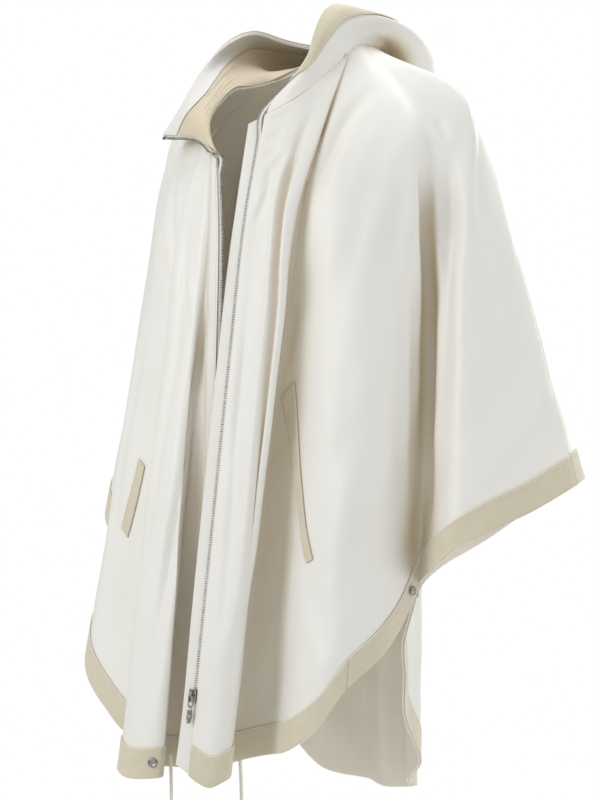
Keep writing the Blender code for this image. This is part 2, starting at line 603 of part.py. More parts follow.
def fold_place(panel, marks, first, fold, share):
    # Fractional column and row of a place named by fold line and share of the way down.
    count = len(marks) - 1
    line = count - fold if panel == "front_right" else fold
    column = np.interp(line, np.arange(len(marks)), marks) - first
    return column, np.interp(share, ROWS, np.arange(len(ROWS)))


def build_welts(panels, marks):
    for welt in WELTS:
        points, normals, first = panels[welt.panel]
        ends = [fold_place(welt.panel, marks, first, *corner)
                for corner in (welt.top_in, welt.top_out, welt.bottom_in, welt.bottom_out)]
        ends = np.array(ends)
        grid = np.zeros((WELT_COLUMNS, WELT_ROWS, 3))
        lean = np.zeros_like(grid)
        for a in range(WELT_COLUMNS):
            for b in range(WELT_ROWS):
                share_across, share_down = a / (WELT_COLUMNS - 1), b / (WELT_ROWS - 1)
                top = ends[0] + (ends[1] - ends[0]) * share_across
                bottom = ends[2] + (ends[3] - ends[2]) * share_across
                place = top + (bottom - top) * share_down
                grid[a, b], lean[a, b] = on_panel(points, normals, *place)
        if welt.panel == "front_right":
            grid, lean = grid[::-1], lean[::-1]
        add_strip(welt.name, grid, lean, 2 * SEAM_GAP, 2 * SEAM_GAP + WELT_THICK, "leather")


def add_cap(name, centre, axis, radius, thick):
    # A snap's round cap with a domed rim, its back on the given centre.
    axis = Vector(axis).normalized()
    turn = axis.to_track_quat("Z", "Y").to_matrix().to_4x4()
    dish = thick * 0.8
    rings = [(radius, 0.0), (radius, thick * 0.5), (radius * 0.75, thick), (radius * 0.45, dish)]
    sides = SNAP_SIDES
    vertices = [(0, 0, 0), (0, 0, dish)]
    faces = []
    for r, z in rings:
        vertices += [(r * math.cos(math.tau * k / sides), r * math.sin(math.tau * k / sides), z)
                     for k in range(sides)]
    for k in range(sides):
        after = (k + 1) % sides
        faces.append((0, 2 + after, 2 + k))
        for ring in range(len(rings) - 1):
            low, high = 2 + ring * sides, 2 + (ring + 1) * sides
            faces.append((low + k, low + after, high + after, high + k))
        top = 2 + (len(rings) - 1) * sides
        faces.append((1, top + k, top + after))
    matrix = Matrix.Translation(Vector(centre)) @ turn
    return add_solid(name, [matrix @ Vector(vertex) for vertex in vertices], faces, "metal")


def snap_place(panels, marks, panel, fold):
    # Centre and outward direction of a snap on the hem band.
    points, normals, first = panels[panel]
    column, row = fold_place(panel, marks, first, fold, 1.0)
    return on_panel(points, normals, column, row + SNAP_INSET / TRIM_WIDTH)


def build_snaps(panels, marks):
    count = len(marks) - 1
    outside = 2 * SEAM_GAP + LEATHER + SNAP_RISE
    for name, (place, fold) in SNAPS.items():
        if place == "right_back":
            fold = count - fold
        panel = "back" if place.endswith("back") else place
        centre, lean = snap_place(panels, marks, panel, fold)
        add_cap(name, centre + lean * outside, lean, SNAP_RADIUS, SNAP_THICK)


def add_boolean_union(solid, other):
    other.hide_render = True
    other.display_type = "WIRE"
    union = solid.modifiers.new("Union", "BOOLEAN")
    union.operation = "UNION"
    union.solver = "EXACT"
    union.object = other


def local_points(origin, axes, places):
    across, along, out = axes
    return [origin + across * x + along * y + out * z for x, y, z in places]


def arch_line(inset):
    # The arch that holds the pull, from foot to foot, drawn in by the given wall.
    face = SLIDER_THICK / 2
    low, high, top = BRIDGE_UP + inset, BRIDGE_DOWN - inset, face + BRIDGE_HEIGHT - inset
    corner = BRIDGE_CORNER - inset / 2
    shoulder = face + BRIDGE_HEIGHT * BRIDGE_SHOULDER - inset / 2
    foot = face - BRIDGE_FOOT
    return [(low, foot), (low, shoulder), (low + corner, top),
            (high - corner, top), (high, shoulder), (high, foot)]


def build_slider(edge):
    path, sides, leans = edge
    heights = path[:, 2]
    here, side, lean = (cut_path(values, heights, ZIP_BOTTOM_Z - SLIDER_LENGTH / 2 - SEAM_GAP)[0]
                        for values in (path, sides, leans))
    above = cut_path(path, heights, ZIP_BOTTOM_Z)[0]
    along = unit(here - above)
    side = unit(side - along * np.dot(side, along))
    out = np.cross(side, along)
    if np.dot(out, lean) < 0:
        out = -out
    origin = here + side * (2 * SEAM_GAP + SLIDER_WIDTH / 2) + out * SLIDER_RISE
    axes = (side, along, out)
    body = add_block("slider", origin, (side, along, out),
                     (SLIDER_WIDTH, SLIDER_LENGTH, SLIDER_THICK), "metal", SLIDER_EDGE)
    outer = arch_line(0.0)
    inner = arch_line(BRIDGE_WALL)
    arch = []
    for x in (-BRIDGE_WIDTH / 2, BRIDGE_WIDTH / 2):
        arch += local_points(origin, axes, [(x, y, z) for y, z in outer + inner])
    faces = []
    for k in range(5):
        faces.append((k, k + 1, 6 + k + 1, 6 + k))
        faces.append((12 + k + 1, 12 + k, 18 + k, 18 + k + 1))
        faces.append((k + 1, k, 12 + k, 12 + k + 1))
        faces.append((6 + k, 6 + k + 1, 18 + k + 1, 18 + k))
    faces += [(0, 6, 18, 12), (11, 5, 17, 23)]
    bridge = add_solid("bridge_form", arch, faces, "metal")
    if signed_volume(bridge.data) < 0:
        bridge.data.flip_normals()
    add_boolean_union(body, bridge)
    return origin, axes


def signed_volume(mesh):
    mesh.calc_loop_triangles()
    total = 0.0
    for triangle in mesh.loop_triangles:
        a, b, c = (mesh.vertices[i].co for i in triangle.vertices)
        total += a.dot(b.cross(c)) / 6
    return total


def add_loop(name, centres, radius):
    tube = add_tube(name, centres, radius, "metal")
    tube.data.splines[0].use_cyclic_u = True
    tube.data.bevel_resolution = 1
    return tube


def flat_oval(angle, flatten):
    # A point of a unit circle whose four sides are flattened.
    x, y = math.cos(angle), math.sin(angle)
    return (math.copysign(min(abs(x) * flatten[0], 1), x), math.copysign(min(abs(y) * flatten[1], 1), y))


def build_pull(origin, axes):
    across, along, out = axes
    height = SLIDER_THICK / 2 + PULL_AXIS_HEIGHT
    pivot = origin - along * PULL_AXIS_UP + out * height
    link = []
    for k in range(LINK_STEPS):
        x, y = flat_oval(math.tau * k / LINK_STEPS, LINK_SQUARE)
        link.append((x * LINK_HALF_WIDTH, (1 + y) * LINK_LENGTH / 2, 0.0))
    add_loop("pull_link", local_points(pivot, axes, link), PULL_WIRE)
    ring_centre = LINK_LENGTH + RING_DROP
    turns = [math.tau * k / RING_STEPS for k in range(RING_STEPS)]
    ring = [(0.0, ring_centre + RING_RADIUS * math.sin(turn), RING_RADIUS * math.cos(turn)) for turn in turns]
    add_loop("pull_ring", local_points(pivot, axes, ring), RING_WIRE)
    hole = ring_centre + RING_RADIUS
    build_tab(pivot, axes, hole)
    return pivot


def build_tab(pivot, axes, hole):
    steps = TAB_STEPS
    outer, inner = [], []
    for k in range(steps):
        angle = math.tau * (k + 0.5) / steps
        inner.append((math.cos(angle) * TAB_HOLE, hole + math.sin(angle) * TAB_HOLE))
        x, y = flat_oval(angle, TAB_SQUARE)
        reach = TAB_LENGTH - TAB_HEAD if y > 0 else TAB_HEAD
        outer.append((x * TAB_WIDTH / 2, hole + reach * y))
    vertices = []
    for z in (-TAB_THICK / 2, TAB_THICK / 2):
        vertices += local_points(pivot, axes, [(x, y, z) for x, y in outer + inner])
    faces = []
    for k in range(steps):
        after = (k + 1) % steps
        low_in, high, high_in = steps, 2 * steps, 3 * steps
        faces.append((k, after, low_in + after, low_in + k))
        faces.append((high + after, high + k, high_in + k, high_in + after))
        faces.append((after, k, high + k, high + after))
        faces.append((low_in + k, low_in + after, high_in + after, high_in + k))
    tab = add_solid("pull_tab", vertices, faces, "metal")
    if signed_volume(tab.data) < 0:
        tab.data.flip_normals()


def build_cords():
    for cord in CORDS:
        centres = []
        for k in range(CORD_STEPS + 1):
            share = k / CORD_STEPS
            bend = cord.sway * math.sin(math.pi * share) * (1 - 0.4 * share)
            centres.append((cord.x + bend, cord.y - bend / 2, cord.top_z - cord.length * share))
        add_tube(cord.name, centres, CORD_RADIUS, "cloth")
        end = cord.top_z - cord.length - KNOT_RADIUS - SEAM_GAP
        add_knot(cord.name.replace("drawcord", "cord_knot"), (cord.x, cord.y, end))


def add_knot(name, centre):
    # A small round knot at the end of a drawcord.
    sides, rings = KNOT_SIDES, KNOT_RINGS
    low, high = centre[2] - KNOT_RADIUS, centre[2] + KNOT_RADIUS
    vertices = [(centre[0], centre[1], low), (centre[0], centre[1], high)]
    faces = []
    for ring in range(1, rings):
        angle = math.pi * ring / rings
        for k in range(sides):
            turn = math.tau * k / sides
            vertices.append((centre[0] + KNOT_RADIUS * math.sin(angle) * math.cos(turn),
                             centre[1] + KNOT_RADIUS * math.sin(angle) * math.sin(turn),
                             centre[2] - KNOT_RADIUS * math.cos(angle)))
    for k in range(sides):
        after = (k + 1) % sides
        faces.append((0, 2 + after, 2 + k))
        for ring in range(rings - 2):
            low, high = 2 + ring * sides, 2 + (ring + 1) * sides
            faces.append((low + k, low + after, high + after, high + k))
        top = 2 + (rings - 2) * sides
        faces.append((1, top + k, top + after))
    add_solid(name, vertices, faces, "cloth")


def main():
    for thing in list(bpy.data.objects):
        bpy.data.objects.remove(thing, do_unlink=True)
    panels, marks, seam = build_panels()
    build_hem_trims(panels, marks)
    hood, hood_normals = build_hood(seam)
    edges = build_zips(panels, hood, hood_normals)
    build_flap(panels)
    build_placket(panels)
    build_welts(panels, marks)
    build_snaps(panels, marks)
    origin, axes = build_slider(edges["left"])
    pivot = build_pull(origin, axes)
    build_cords()
    print("pull pivot", pivot, "axis", axes[0])


main()
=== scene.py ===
# Hooded cape, worn open: the visible cloth, leather, zips and cords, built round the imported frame.
import math

import bpy
import numpy as np
from mathutils import Matrix, Vector
from mathutils.bvhtree import BVHTree


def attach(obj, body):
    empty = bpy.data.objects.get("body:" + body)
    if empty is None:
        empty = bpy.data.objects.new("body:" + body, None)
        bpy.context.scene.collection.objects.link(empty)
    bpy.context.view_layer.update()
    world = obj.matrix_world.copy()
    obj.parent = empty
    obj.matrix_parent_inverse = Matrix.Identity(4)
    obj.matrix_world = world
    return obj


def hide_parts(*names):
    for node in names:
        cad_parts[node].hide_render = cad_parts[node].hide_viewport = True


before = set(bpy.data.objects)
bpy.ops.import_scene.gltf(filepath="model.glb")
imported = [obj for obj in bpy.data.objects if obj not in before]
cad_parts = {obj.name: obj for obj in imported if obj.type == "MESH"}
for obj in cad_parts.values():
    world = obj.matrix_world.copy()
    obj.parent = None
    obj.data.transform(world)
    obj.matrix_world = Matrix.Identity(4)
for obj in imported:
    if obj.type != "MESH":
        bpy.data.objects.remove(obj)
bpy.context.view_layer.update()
print("frame loaded:", len(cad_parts), "nodes")


# Camera, light and floor

view = {
    "azimuth": 40.0,          # degrees round from the front, towards the garment's own left
    "down": 2.0,              # degrees that the camera looks down
    "distance": 2.6,
    "across": 0.0105,         # middle of the picture, to the right of the origin
    "height": -0.316,
    "focalPixels": 2476.0,
    "pictureHeight": 800.0,
    "sensor": 36.0,           # millimetres
}


def buildView(look):
    turn, tilt = math.radians(look["azimuth"]), math.radians(look["down"])
    right = Vector((math.cos(turn), math.sin(turn), 0))
    ahead = Vector((-math.sin(turn) * math.cos(tilt), math.cos(turn) * math.cos(tilt), -math.sin(tilt)))
    target = right * look["across"] + Vector((0, 0, look["height"]))
    lens = bpy.data.cameras.new("camera")
    lens.sensor_fit = "VERTICAL"
    lens.sensor_height = look["sensor"]
    lens.sensor_width = look["sensor"]
    lens.lens = look["sensor"] * look["focalPixels"] / look["pictureHeight"]
    camera = bpy.data.objects.new("camera", lens)
    bpy.context.collection.objects.link(camera)
    camera.location = target - ahead * look["distance"]
    camera.rotation_euler = ahead.to_track_quat("-Z", "Y").to_euler()
    bpy.context.scene.camera = camera
    return right, ahead, target


lamps = {
    # name: (metres to the right of the camera's line, towards the camera, up, size, watts, colour)
    "key": (-1.9, 1.3, 0.9, 1.1, 22, (1.0, 1.0, 0.99)),
    "fill": (2.2, 1.0, 0.1, 1.6, 10, (1.0, 1.0, 1.0)),
    "top": (0.4, -0.2, 1.9, 1.1, 17, (1.0, 1.0, 1.0)),
    "back": (1.6, -1.7, 0.7, 1.4, 14, (1.0, 1.0, 1.0)),
}
studio = {"ambient": 0.58, "tint": (1.0, 0.99, 0.97), "backdrop": (1.0, 1.0, 1.0)}


def buildLamps(right, ahead, target):
    for name, (across, near, up, size, watts, colour) in lamps.items():
        light = bpy.data.lights.new(name, "AREA")
        light.shape = "DISK"
        light.size = size
        light.energy = watts
        light.color = colour
        lamp = bpy.data.objects.new(name, light)
        bpy.context.collection.objects.link(lamp)
        lamp.location = target + right * across - ahead * near + Vector((0, 0, up))
        lamp.rotation_euler = (target - lamp.location).to_track_quat("-Z", "Y").to_euler()
    world = bpy.data.worlds.new("studio")
    world.use_nodes = True
    nodes, links = world.node_tree.nodes, world.node_tree.links
    sky = nodes["Background"]
    sky.inputs["Color"].default_value = (*studio["tint"], 1.0)
    sky.inputs["Strength"].default_value = studio["ambient"]
    plain = nodes.new("ShaderNodeBackground")
    plain.inputs["Color"].default_value = (*studio["backdrop"], 1.0)
    seen, mix = nodes.new("ShaderNodeLightPath"), nodes.new("ShaderNodeMixShader")
    links.new(seen.outputs["Is Camera Ray"], mix.inputs["Fac"])
    links.new(sky.outputs["Background"], mix.inputs[1])
    links.new(plain.outputs["Background"], mix.inputs[2])
    links.new(mix.outputs["Shader"], nodes["World Output"].inputs["Surface"])
    bpy.context.scene.world = world
    bpy.context.scene.view_settings.view_transform = "Standard"


ground = {
    "height": -1.42,          # as far below the hem as such a cape is worn above the ground
    "reach": 2.3,
    "grey": 0.9,
    "roughness": 0.9,
}


def buildFloor(look):
    mesh = bpy.data.meshes.new("floor")
    reach, height = look["reach"], look["height"]
    mesh.from_pydata([(-reach, -reach, height), (reach, -reach, height),
                      (reach, reach, height), (-reach, reach, height)], [], [(0, 1, 2, 3)])
    floor = bpy.data.objects.new("floor", mesh)
    bpy.context.collection.objects.link(floor)
    paint, _, _, shader = newMaterial("floorPaint")
    shader.inputs["Base Color"].default_value = (look["grey"], look["grey"], look["grey"], 1.0)
    shader.inputs["Roughness"].default_value = look["roughness"]
    mesh.materials.append(paint)


# Finishes. Sizes in them are metres, and a wave's scale is waveRepeat over the width of its bands.

waveRepeat = 0.314
clothLook = {
    "toneScale": 9.0, "crinkleScale": 55.0,
    "weaveDepth": 0.12,       # of the weave's own width
    "weaveStrength": 0.5, "crinkleStrength": 0.35,
    "roughSpread": 0.05, "sheenRoughness": 0.35,
    # The last four: reach, samples and spread of the painted shade in folds
    "foldShadeReach": 0.045, "foldShadeSamples": 8, "foldShadeLow": 0.25, "foldShadeHigh": 0.85,
}
suedeLook = {
    "patchScale": 70.0, "patchDepth": 0.0006, "patchStrength": 0.3,
    "napScale": 1400.0, "napDepth": 0.00016, "napStrength": 0.6,
    "roughness": 0.86, "sheen": 0.35, "sheenRoughness": 0.5,
}
metalLook = {"wearScale": 420.0, "wearDepth": 0.00005, "wearStrength": 0.3, "smoother": 0.08, "rougher": 0.14}
braidLook = {"band": 0.0022, "depth": 0.00035, "strength": 0.8, "roughness": 0.8, "sheen": 0.3}


def newMaterial(name):
    made = bpy.data.materials.new(name)
    made.use_nodes = True
    nodes, links = made.node_tree.nodes, made.node_tree.links
    return made, nodes, links, nodes["Principled BSDF"]


def addNode(nodes, kind, **values):
    node = nodes.new(kind)
    for name, value in values.items():
        node.inputs[name].default_value = value
    return node


def mixColours(nodes, links, factor, first, second, low=0.3, high=0.7):
    # A colour between two, by a grey value spread between low and high.
    ramp = nodes.new("ShaderNodeValToRGB")
    ramp.color_ramp.elements[0].position = low
    ramp.color_ramp.elements[1].position = high
    ramp.color_ramp.elements[0].color = (*first, 1.0)
    ramp.color_ramp.elements[1].color = (*second, 1.0)
    links.new(factor, ramp.inputs["Fac"])
    return ramp.outputs["Color"]


def addBump(nodes, links, height, distance, strength, before=None):
    bump = addNode(nodes, "ShaderNodeBump", Strength=strength, Distance=distance)
    links.new(height, bump.inputs["Height"])
    if before is not None:
        links.new(before, bump.inputs["Normal"])
    return bump.outputs["Normal"]


def addNoise(nodes, links, where, scale, detail, roughness):
    noise = addNode(nodes, "ShaderNodeTexNoise", Scale=scale, Detail=detail, Roughness=roughness)
    links.new(where.outputs["Object"], noise.inputs["Vector"])
    return noise.outputs["Fac"]


def unevenRoughness(nodes, links, shader, factor, smooth, rough):
    spread = addNode(nodes, "ShaderNodeMapRange", **{"To Min": smooth, "To Max": rough})
    links.new(factor, spread.inputs["Value"])
    links.new(spread.outputs["Result"], shader.inputs["Roughness"])


def paintFoldShade(nodes, links, colour, foldShadeColour):
    # Painted shade: a warmer, darker colour mixed in deep in a fold, where ambient occlusion finds the cloth
    # closed in, for the light that comes off cloth only.
    depth = addNode(nodes, "ShaderNodeAmbientOcclusion", Distance=clothLook["foldShadeReach"])
    depth.samples = clothLook["foldShadeSamples"]
    ramp = mixColours(nodes, links, depth.outputs["AO"], (1, 1, 1), (0, 0, 0),
                      clothLook["foldShadeLow"], clothLook["foldShadeHigh"])
    mix = nodes.new("ShaderNodeMix")
    mix.data_type = "RGBA"
    links.new(ramp, mix.inputs["Factor"])
    links.new(colour, mix.inputs["A"])
    mix.inputs["B"].default_value = (*foldShadeColour, 1.0)
    return mix.outputs["Result"]


def clothFinish(name, light, deep, roughness, sheen, weave=0.0007, crinkle=0.00035, foldShadeColour=None):
    # Woven cloth: fine twill on the piece's own lengths, an uneven silky tone and small crinkles, and painted
    # shade deep in folds where a shade colour is given.
    made, nodes, links, shader = newMaterial(name)
    where = nodes.new("ShaderNodeTexCoord")
    tone = addNoise(nodes, links, where, clothLook["toneScale"], 3.0, 0.5)
    colour = mixColours(nodes, links, tone, deep, light)
    if foldShadeColour:
        colour = paintFoldShade(nodes, links, colour, foldShadeColour)
    links.new(colour, shader.inputs["Base Color"])
    twill = addNode(nodes, "ShaderNodeTexWave", Scale=waveRepeat / weave, Distortion=0.4, Detail=1.0)
    twill.bands_direction = "DIAGONAL"
    links.new(where.outputs["UV"], twill.inputs["Vector"])
    fine = addNoise(nodes, links, where, clothLook["crinkleScale"], 4.0, 0.55)
    normal = addBump(nodes, links, twill.outputs["Fac"], weave * clothLook["weaveDepth"],
                     clothLook["weaveStrength"])
    normal = addBump(nodes, links, fine, crinkle, clothLook["crinkleStrength"], normal)
    links.new(normal, shader.inputs["Normal"])
    unevenRoughness(nodes, links, shader, tone, roughness - clothLook["roughSpread"],
                    roughness + clothLook["roughSpread"])
    shader.inputs["Sheen Weight"].default_value = sheen
    shader.inputs["Sheen Roughness"].default_value = clothLook["sheenRoughness"]
    return made


def suedeFinish(name, light, deep):
    # Suede: short nap with brushed lighter and darker patches.
    made, nodes, links, shader = newMaterial(name)
    where = nodes.new("ShaderNodeTexCoord")
    patch = addNoise(nodes, links, where, suedeLook["patchScale"], 5.0, 0.7)
    nap = addNoise(nodes, links, where, suedeLook["napScale"], 2.0, 0.6)
    links.new(mixColours(nodes, links, patch, deep, light, 0.25, 0.75), shader.inputs["Base Color"])
    normal = addBump(nodes, links, nap, suedeLook["napDepth"], suedeLook["napStrength"])
    normal = addBump(nodes, links, patch, suedeLook["patchDepth"], suedeLook["patchStrength"], normal)
    links.new(normal, shader.inputs["Normal"])
    shader.inputs["Roughness"].default_value = suedeLook["roughness"]
    shader.inputs["Sheen Weight"].default_value = suedeLook["sheen"]
    shader.inputs["Sheen Roughness"].default_value = suedeLook["sheenRoughness"]
    return made


def metalFinish(name, light, dark, roughness):
    # Antique silver: brighter where it is rubbed, darker in patches.
    made, nodes, links, shader = newMaterial(name)
    where = nodes.new("ShaderNodeTexCoord")
    wear = addNoise(nodes, links, where, metalLook["wearScale"], 4.0, 0.6)
    links.new(mixColours(nodes, links, wear, dark, light, 0.35, 0.6), shader.inputs["Base Color"])
    unevenRoughness(nodes, links, shader, wear, roughness - metalLook["smoother"],
                    roughness + metalLook["rougher"])
    links.new(addBump(nodes, links, wear, metalLook["wearDepth"], metalLook["wearStrength"]),
              shader.inputs["Normal"])
    shader.inputs["Metallic"].default_value = 1.0
    return made


def cordFinish(name, light, deep):
    # Braided cord: crossing bands along its length.
    made, nodes, links, shader = newMaterial(name)
    where = nodes.new("ShaderNodeTexCoord")
    braid = addNode(nodes, "ShaderNodeTexWave", Scale=waveRepeat / braidLook["band"],
                    Distortion=1.2, Detail=1.0)
    braid.bands_direction = "DIAGONAL"
    links.new(where.outputs["Object"], braid.inputs["Vector"])
    links.new(mixColours(nodes, links, braid.outputs["Fac"], deep, light, 0.2, 0.8),
              shader.inputs["Base Color"])
    links.new(addBump(nodes, links, braid.outputs["Fac"], braidLook["depth"], braidLook["strength"]),
              shader.inputs["Normal"])
    shader.inputs["Roughness"].default_value = braidLook["roughness"]
    shader.inputs["Sheen Weight"].default_value = braidLook["sheen"]
    return made


finishes = {
    # The last colour given to the ivory and the white cloth is painted shade, mixed in deep in folds
    "cloth": clothFinish("ivoryCloth", (0.84, 0.835, 0.80), (0.815, 0.81, 0.77), 0.38, 0.15,
                         foldShadeColour=(0.66, 0.57, 0.41)),
    # The inside is painted warm shade: the same cloth's inner face, in a warmer cream than its outer face
    "inside": clothFinish("clothInsideShade", (0.86, 0.82, 0.73), (0.84, 0.79, 0.69), 0.5, 0.15),
    "white": clothFinish("whiteCloth", (0.80, 0.795, 0.765), (0.78, 0.775, 0.74), 0.42, 0.15,
                         foldShadeColour=(0.62, 0.55, 0.42)),
    "lining": clothFinish("beigeLining", (0.70, 0.61, 0.46), (0.65, 0.56, 0.41), 0.45, 0.25),
    "leather": suedeFinish("creamSuede", (0.67, 0.62, 0.485), (0.61, 0.56, 0.43)),
    "piping": suedeFinish("creamPiping", (0.76, 0.73, 0.62), (0.71, 0.68, 0.56)),
    "thread": clothFinish("ivoryThread", (0.86, 0.83, 0.76), (0.82, 0.78, 0.70), 0.5, 0.2),
    "metal": metalFinish("antiqueSilver", (0.50, 0.49, 0.47), (0.13, 0.125, 0.12), 0.28),
    "cord": cordFinish("braidedCord", (0.86, 0.84, 0.79), (0.74, 0.71, 0.65)),
}
print("finishes made:", len(finishes))


# Grids read from the frame's cloth walls

rimTolerance = 4e-6           # metres between a rim triangle's short side and the wall's thickness
samePlace = 1e6               # points are one where they agree in whole steps of 1 / samePlace metres


def unit(vectors):
    return vectors / (np.linalg.norm(vectors, axis=-1, keepdims=True) + 1e-12)


def nodeMesh(node):
    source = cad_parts[node].data
    points = np.array([vertex.co[:] for vertex in source.vertices])
    _, first, back = np.unique(np.round(points * samePlace).astype(np.int64), axis=0,
                               return_index=True, return_inverse=True)
    back = back.ravel()
    source.calc_loop_triangles()
    faces = [tuple(int(back[i]) for i in triangle.vertices) for triangle in source.loop_triangles]
    return points[first], [face for face in faces if len(set(face)) == 3]


def edgesOf(face):
    return [frozenset((face[k], face[(k + 1) % 3])) for k in range(3)]


def wallSheets(points, faces, thick):
    # The two faces of a thin wall: what stays joined without the rim's triangles.
    def isRim(face):
        spans = [np.linalg.norm(points[face[k]] - points[face[(k + 1) % 3]]) for k in range(3)]
        return min(abs(span - thick) for span in spans) < rimTolerance

    kept = [face for face in faces if not isRim(face)]
    byEdge = {}
    for number, face in enumerate(kept):
        for edge in edgesOf(face):
            byEdge.setdefault(edge, []).append(number)
    group = [-1] * len(kept)
    groups = []
    for start in range(len(kept)):
        if group[start] >= 0:
            continue
        group[start] = len(groups)
        found, front = [start], [start]
        while front:
            for edge in edgesOf(kept[front.pop()]):
                for other in byEdge[edge]:
                    if group[other] < 0:
                        group[other] = len(groups)
                        found.append(other)
                        front.append(other)
        groups.append([kept[number] for number in found])
    sheets = []
    for part in sorted(groups, key=len)[-2:]:
        own = {corner for face in part for corner in face}
        sheets.append([face for face in faces if own.issuperset(face)])
    return sheets


def nextLine(line, byEdge, used):
    # The line of points beside one, through triangles not used yet, or None where the sheet ends.
    fresh = []
    for j, point in enumerate(line):
        edge = frozenset((point, line[j + 1] if j < len(line) - 1 else fresh[j - 1]))
        owners = [face for face in byEdge.get(edge, []) if face not in used]
        if len(owners) != 1:
            return None
        fresh.append(next(corner for corner in owners[0] if corner not in edge))
        used.add(owners[0])
        if 0 < j < len(line) - 1:
            used.update(byEdge[frozenset((point, fresh[j - 1]))])
    return fresh


def walkGrid(faces, rows, columns):
    # Puts a sheet's points in order, from the corner that only one triangle has.
    byEdge, count = {}, {}
    for face in faces:
        for edge in edgesOf(face):
            byEdge.setdefault(edge, []).append(face)
        for corner in face:
            count[corner] = count.get(corner, 0) + 1
    rim = {}
    for edge, owners in byEdge.items():
        if len(owners) == 1:
            a, b = tuple(edge)
            rim.setdefault(a, []).append(b)
            rim.setdefault(b, []).append(a)
    start = [corner for corner in count if count[corner] == 1][0]
    for first in rim[start]:
        line = [start, first]
        while len(line) < rows:
            line.append([point for point in rim[line[-1]] if point != line[-2]][0])
        if count[line[-1]] != 2:
            continue
        grid, used = [line], set()
        while grid[-1] and len(grid) < columns:
            grid.append(nextLine(grid[-1], byEdge, used))
        if grid[-1]:
            return np.array(grid)
    raise ValueError("a wall's points aren't in rows")


def faceLean(points, faces):
    corners = points[np.array(faces)]
    return np.cross(corners[:, 1] - corners[:, 0], corners[:, 2] - corners[:, 0]), corners.mean(axis=1)


def wallGrid(node, rows, thick, beside=None):
    # A wall's outer face as columns by rows of points, and the sign that turns its normals outward.
    points, faces = nodeMesh(node)
    columns = (len(faces) // 4 - rows + 1) // rows + 1      # both faces and the rim, two triangles a cell
    best = None
    for sheet in wallSheets(points, faces, thick):
        lean, middle = faceLean(points, sheet)
        if beside is None:
            score = float(np.sum(lean * unit(middle * (1, 1, 0))))
        else:
            score = -float(np.linalg.norm(middle[:, None] - beside[None], axis=-1).min())
        if best is None or score > best[0]:
            best = (score, sheet, lean.sum(axis=0))
    grid = points[walkGrid(best[1], rows, columns)]
    if beside is None and grid[:, -1, 2].mean() > grid[:, 0, 2].mean():
        grid = grid[::-1, ::-1]
    sign = np.sign(np.dot(best[2], rawNormals(grid).sum(axis=(0, 1))))
    return grid, sign


def rawNormals(grid):
    return unit(np.cross(np.gradient(grid, axis=1), np.gradient(grid, axis=0)))


# Cloth as fine grids of points

def spansOf(grid, axis):
    steps = np.linalg.norm(np.diff(grid, axis=axis), axis=-1)
    return steps.mean(axis=1 - axis)


def refine(values, spans, counts, axis):
    # More points along one way of a grid, on smooth curves through the ones that it has.
    values = np.moveaxis(values, axis, 0)
    spans = np.asarray(spans)[:, None, None]
    slopes = np.diff(values, axis=0) / spans
    turns = np.empty_like(values)
    turns[1:-1] = (slopes[:-1] * spans[1:] + slopes[1:] * spans[:-1]) / (spans[:-1] + spans[1:])
    if len(values) == 2:
        turns[:] = slopes[0]
    else:
        turns[0] = 1.5 * slopes[0] - 0.5 * turns[1]
        turns[-1] = 1.5 * slopes[-1] - 0.5 * turns[-2]
    fine = []
    for k, count in enumerate(counts):
        for s in np.arange(count) / count:
            fine.append(values[k] * (1 + 2 * s) * (1 - s) ** 2 + turns[k] * spans[k] * s * (1 - s) ** 2
                        + values[k + 1] * s * s * (3 - 2 * s) + turns[k + 1] * spans[k] * s * s * (s - 1))
    fine.append(values[-1])
    return np.moveaxis(np.array(fine), 0, axis)


def fineCloth(grid, sign, spacing, rowSpacing=None):
    # A fine grid with its normals, and where the wall's own columns and rows lie in it.
    counts = [[max(1, round(span / size)) for span in spansOf(grid, axis)]
              for axis, size in ((0, spacing), (1, rowSpacing or spacing))]
    points = refine(grid, spansOf(grid, 0), counts[0], 0)
    points = refine(points, spansOf(points, 1), counts[1], 1)
    return {
        "points": points,
        "sign": sign,
        "normals": rawNormals(points) * sign,
        "columnsAt": np.concatenate([[0], np.cumsum(counts[0])]),
        "rowsAt": np.concatenate([[0], np.cumsum(counts[1])]),
    }


def renewNormals(cloth):
    cloth["normals"] = rawNormals(cloth["points"]) * cloth["sign"]
    return cloth


def lengthsOf(grid, axis):
    # How far each point is from the grid's first row or column, along the cloth.
    steps = np.linalg.norm(np.diff(grid, axis=axis), axis=-1)
    start = np.zeros_like(np.take(steps, [0], axis=axis))
    return np.concatenate([start, np.cumsum(steps, axis=axis)], axis=axis)


def placeOn(grid, across, down):
    # The point at given shares of the way across and down.
    columns, rows = grid.shape[:2]
    a, b = across * (columns - 1), down * (rows - 1)
    i, j = min(int(a), columns - 2), min(int(b), rows - 2)
    s, t = a - i, b - j
    return ((1 - s) * ((1 - t) * grid[i, j] + t * grid[i, j + 1])
            + s * ((1 - t) * grid[i + 1, j] + t * grid[i + 1, j + 1]))


creaseLook = {
    "stepsPerPlace": 16, "rounding": 12,      # how finely a crease's path is drawn and how often smoothed
    "taper": 0.3,                             # share of the crease that fades at each end
    "ridge": 0.45, "ridgeAt": 1.9,            # the ridges beside it, as shares of its depth and width
}
waveLook = {"each": 3, "turn": 0.5, "shortest": 0.75, "longest": 1.3, "sway": 3, "swayRate": 9}
millimetre = 0.001


def easeIn(distance, reach):
    share = np.clip(distance / reach, 0, 1)
    return share * share * (3 - 2 * share)


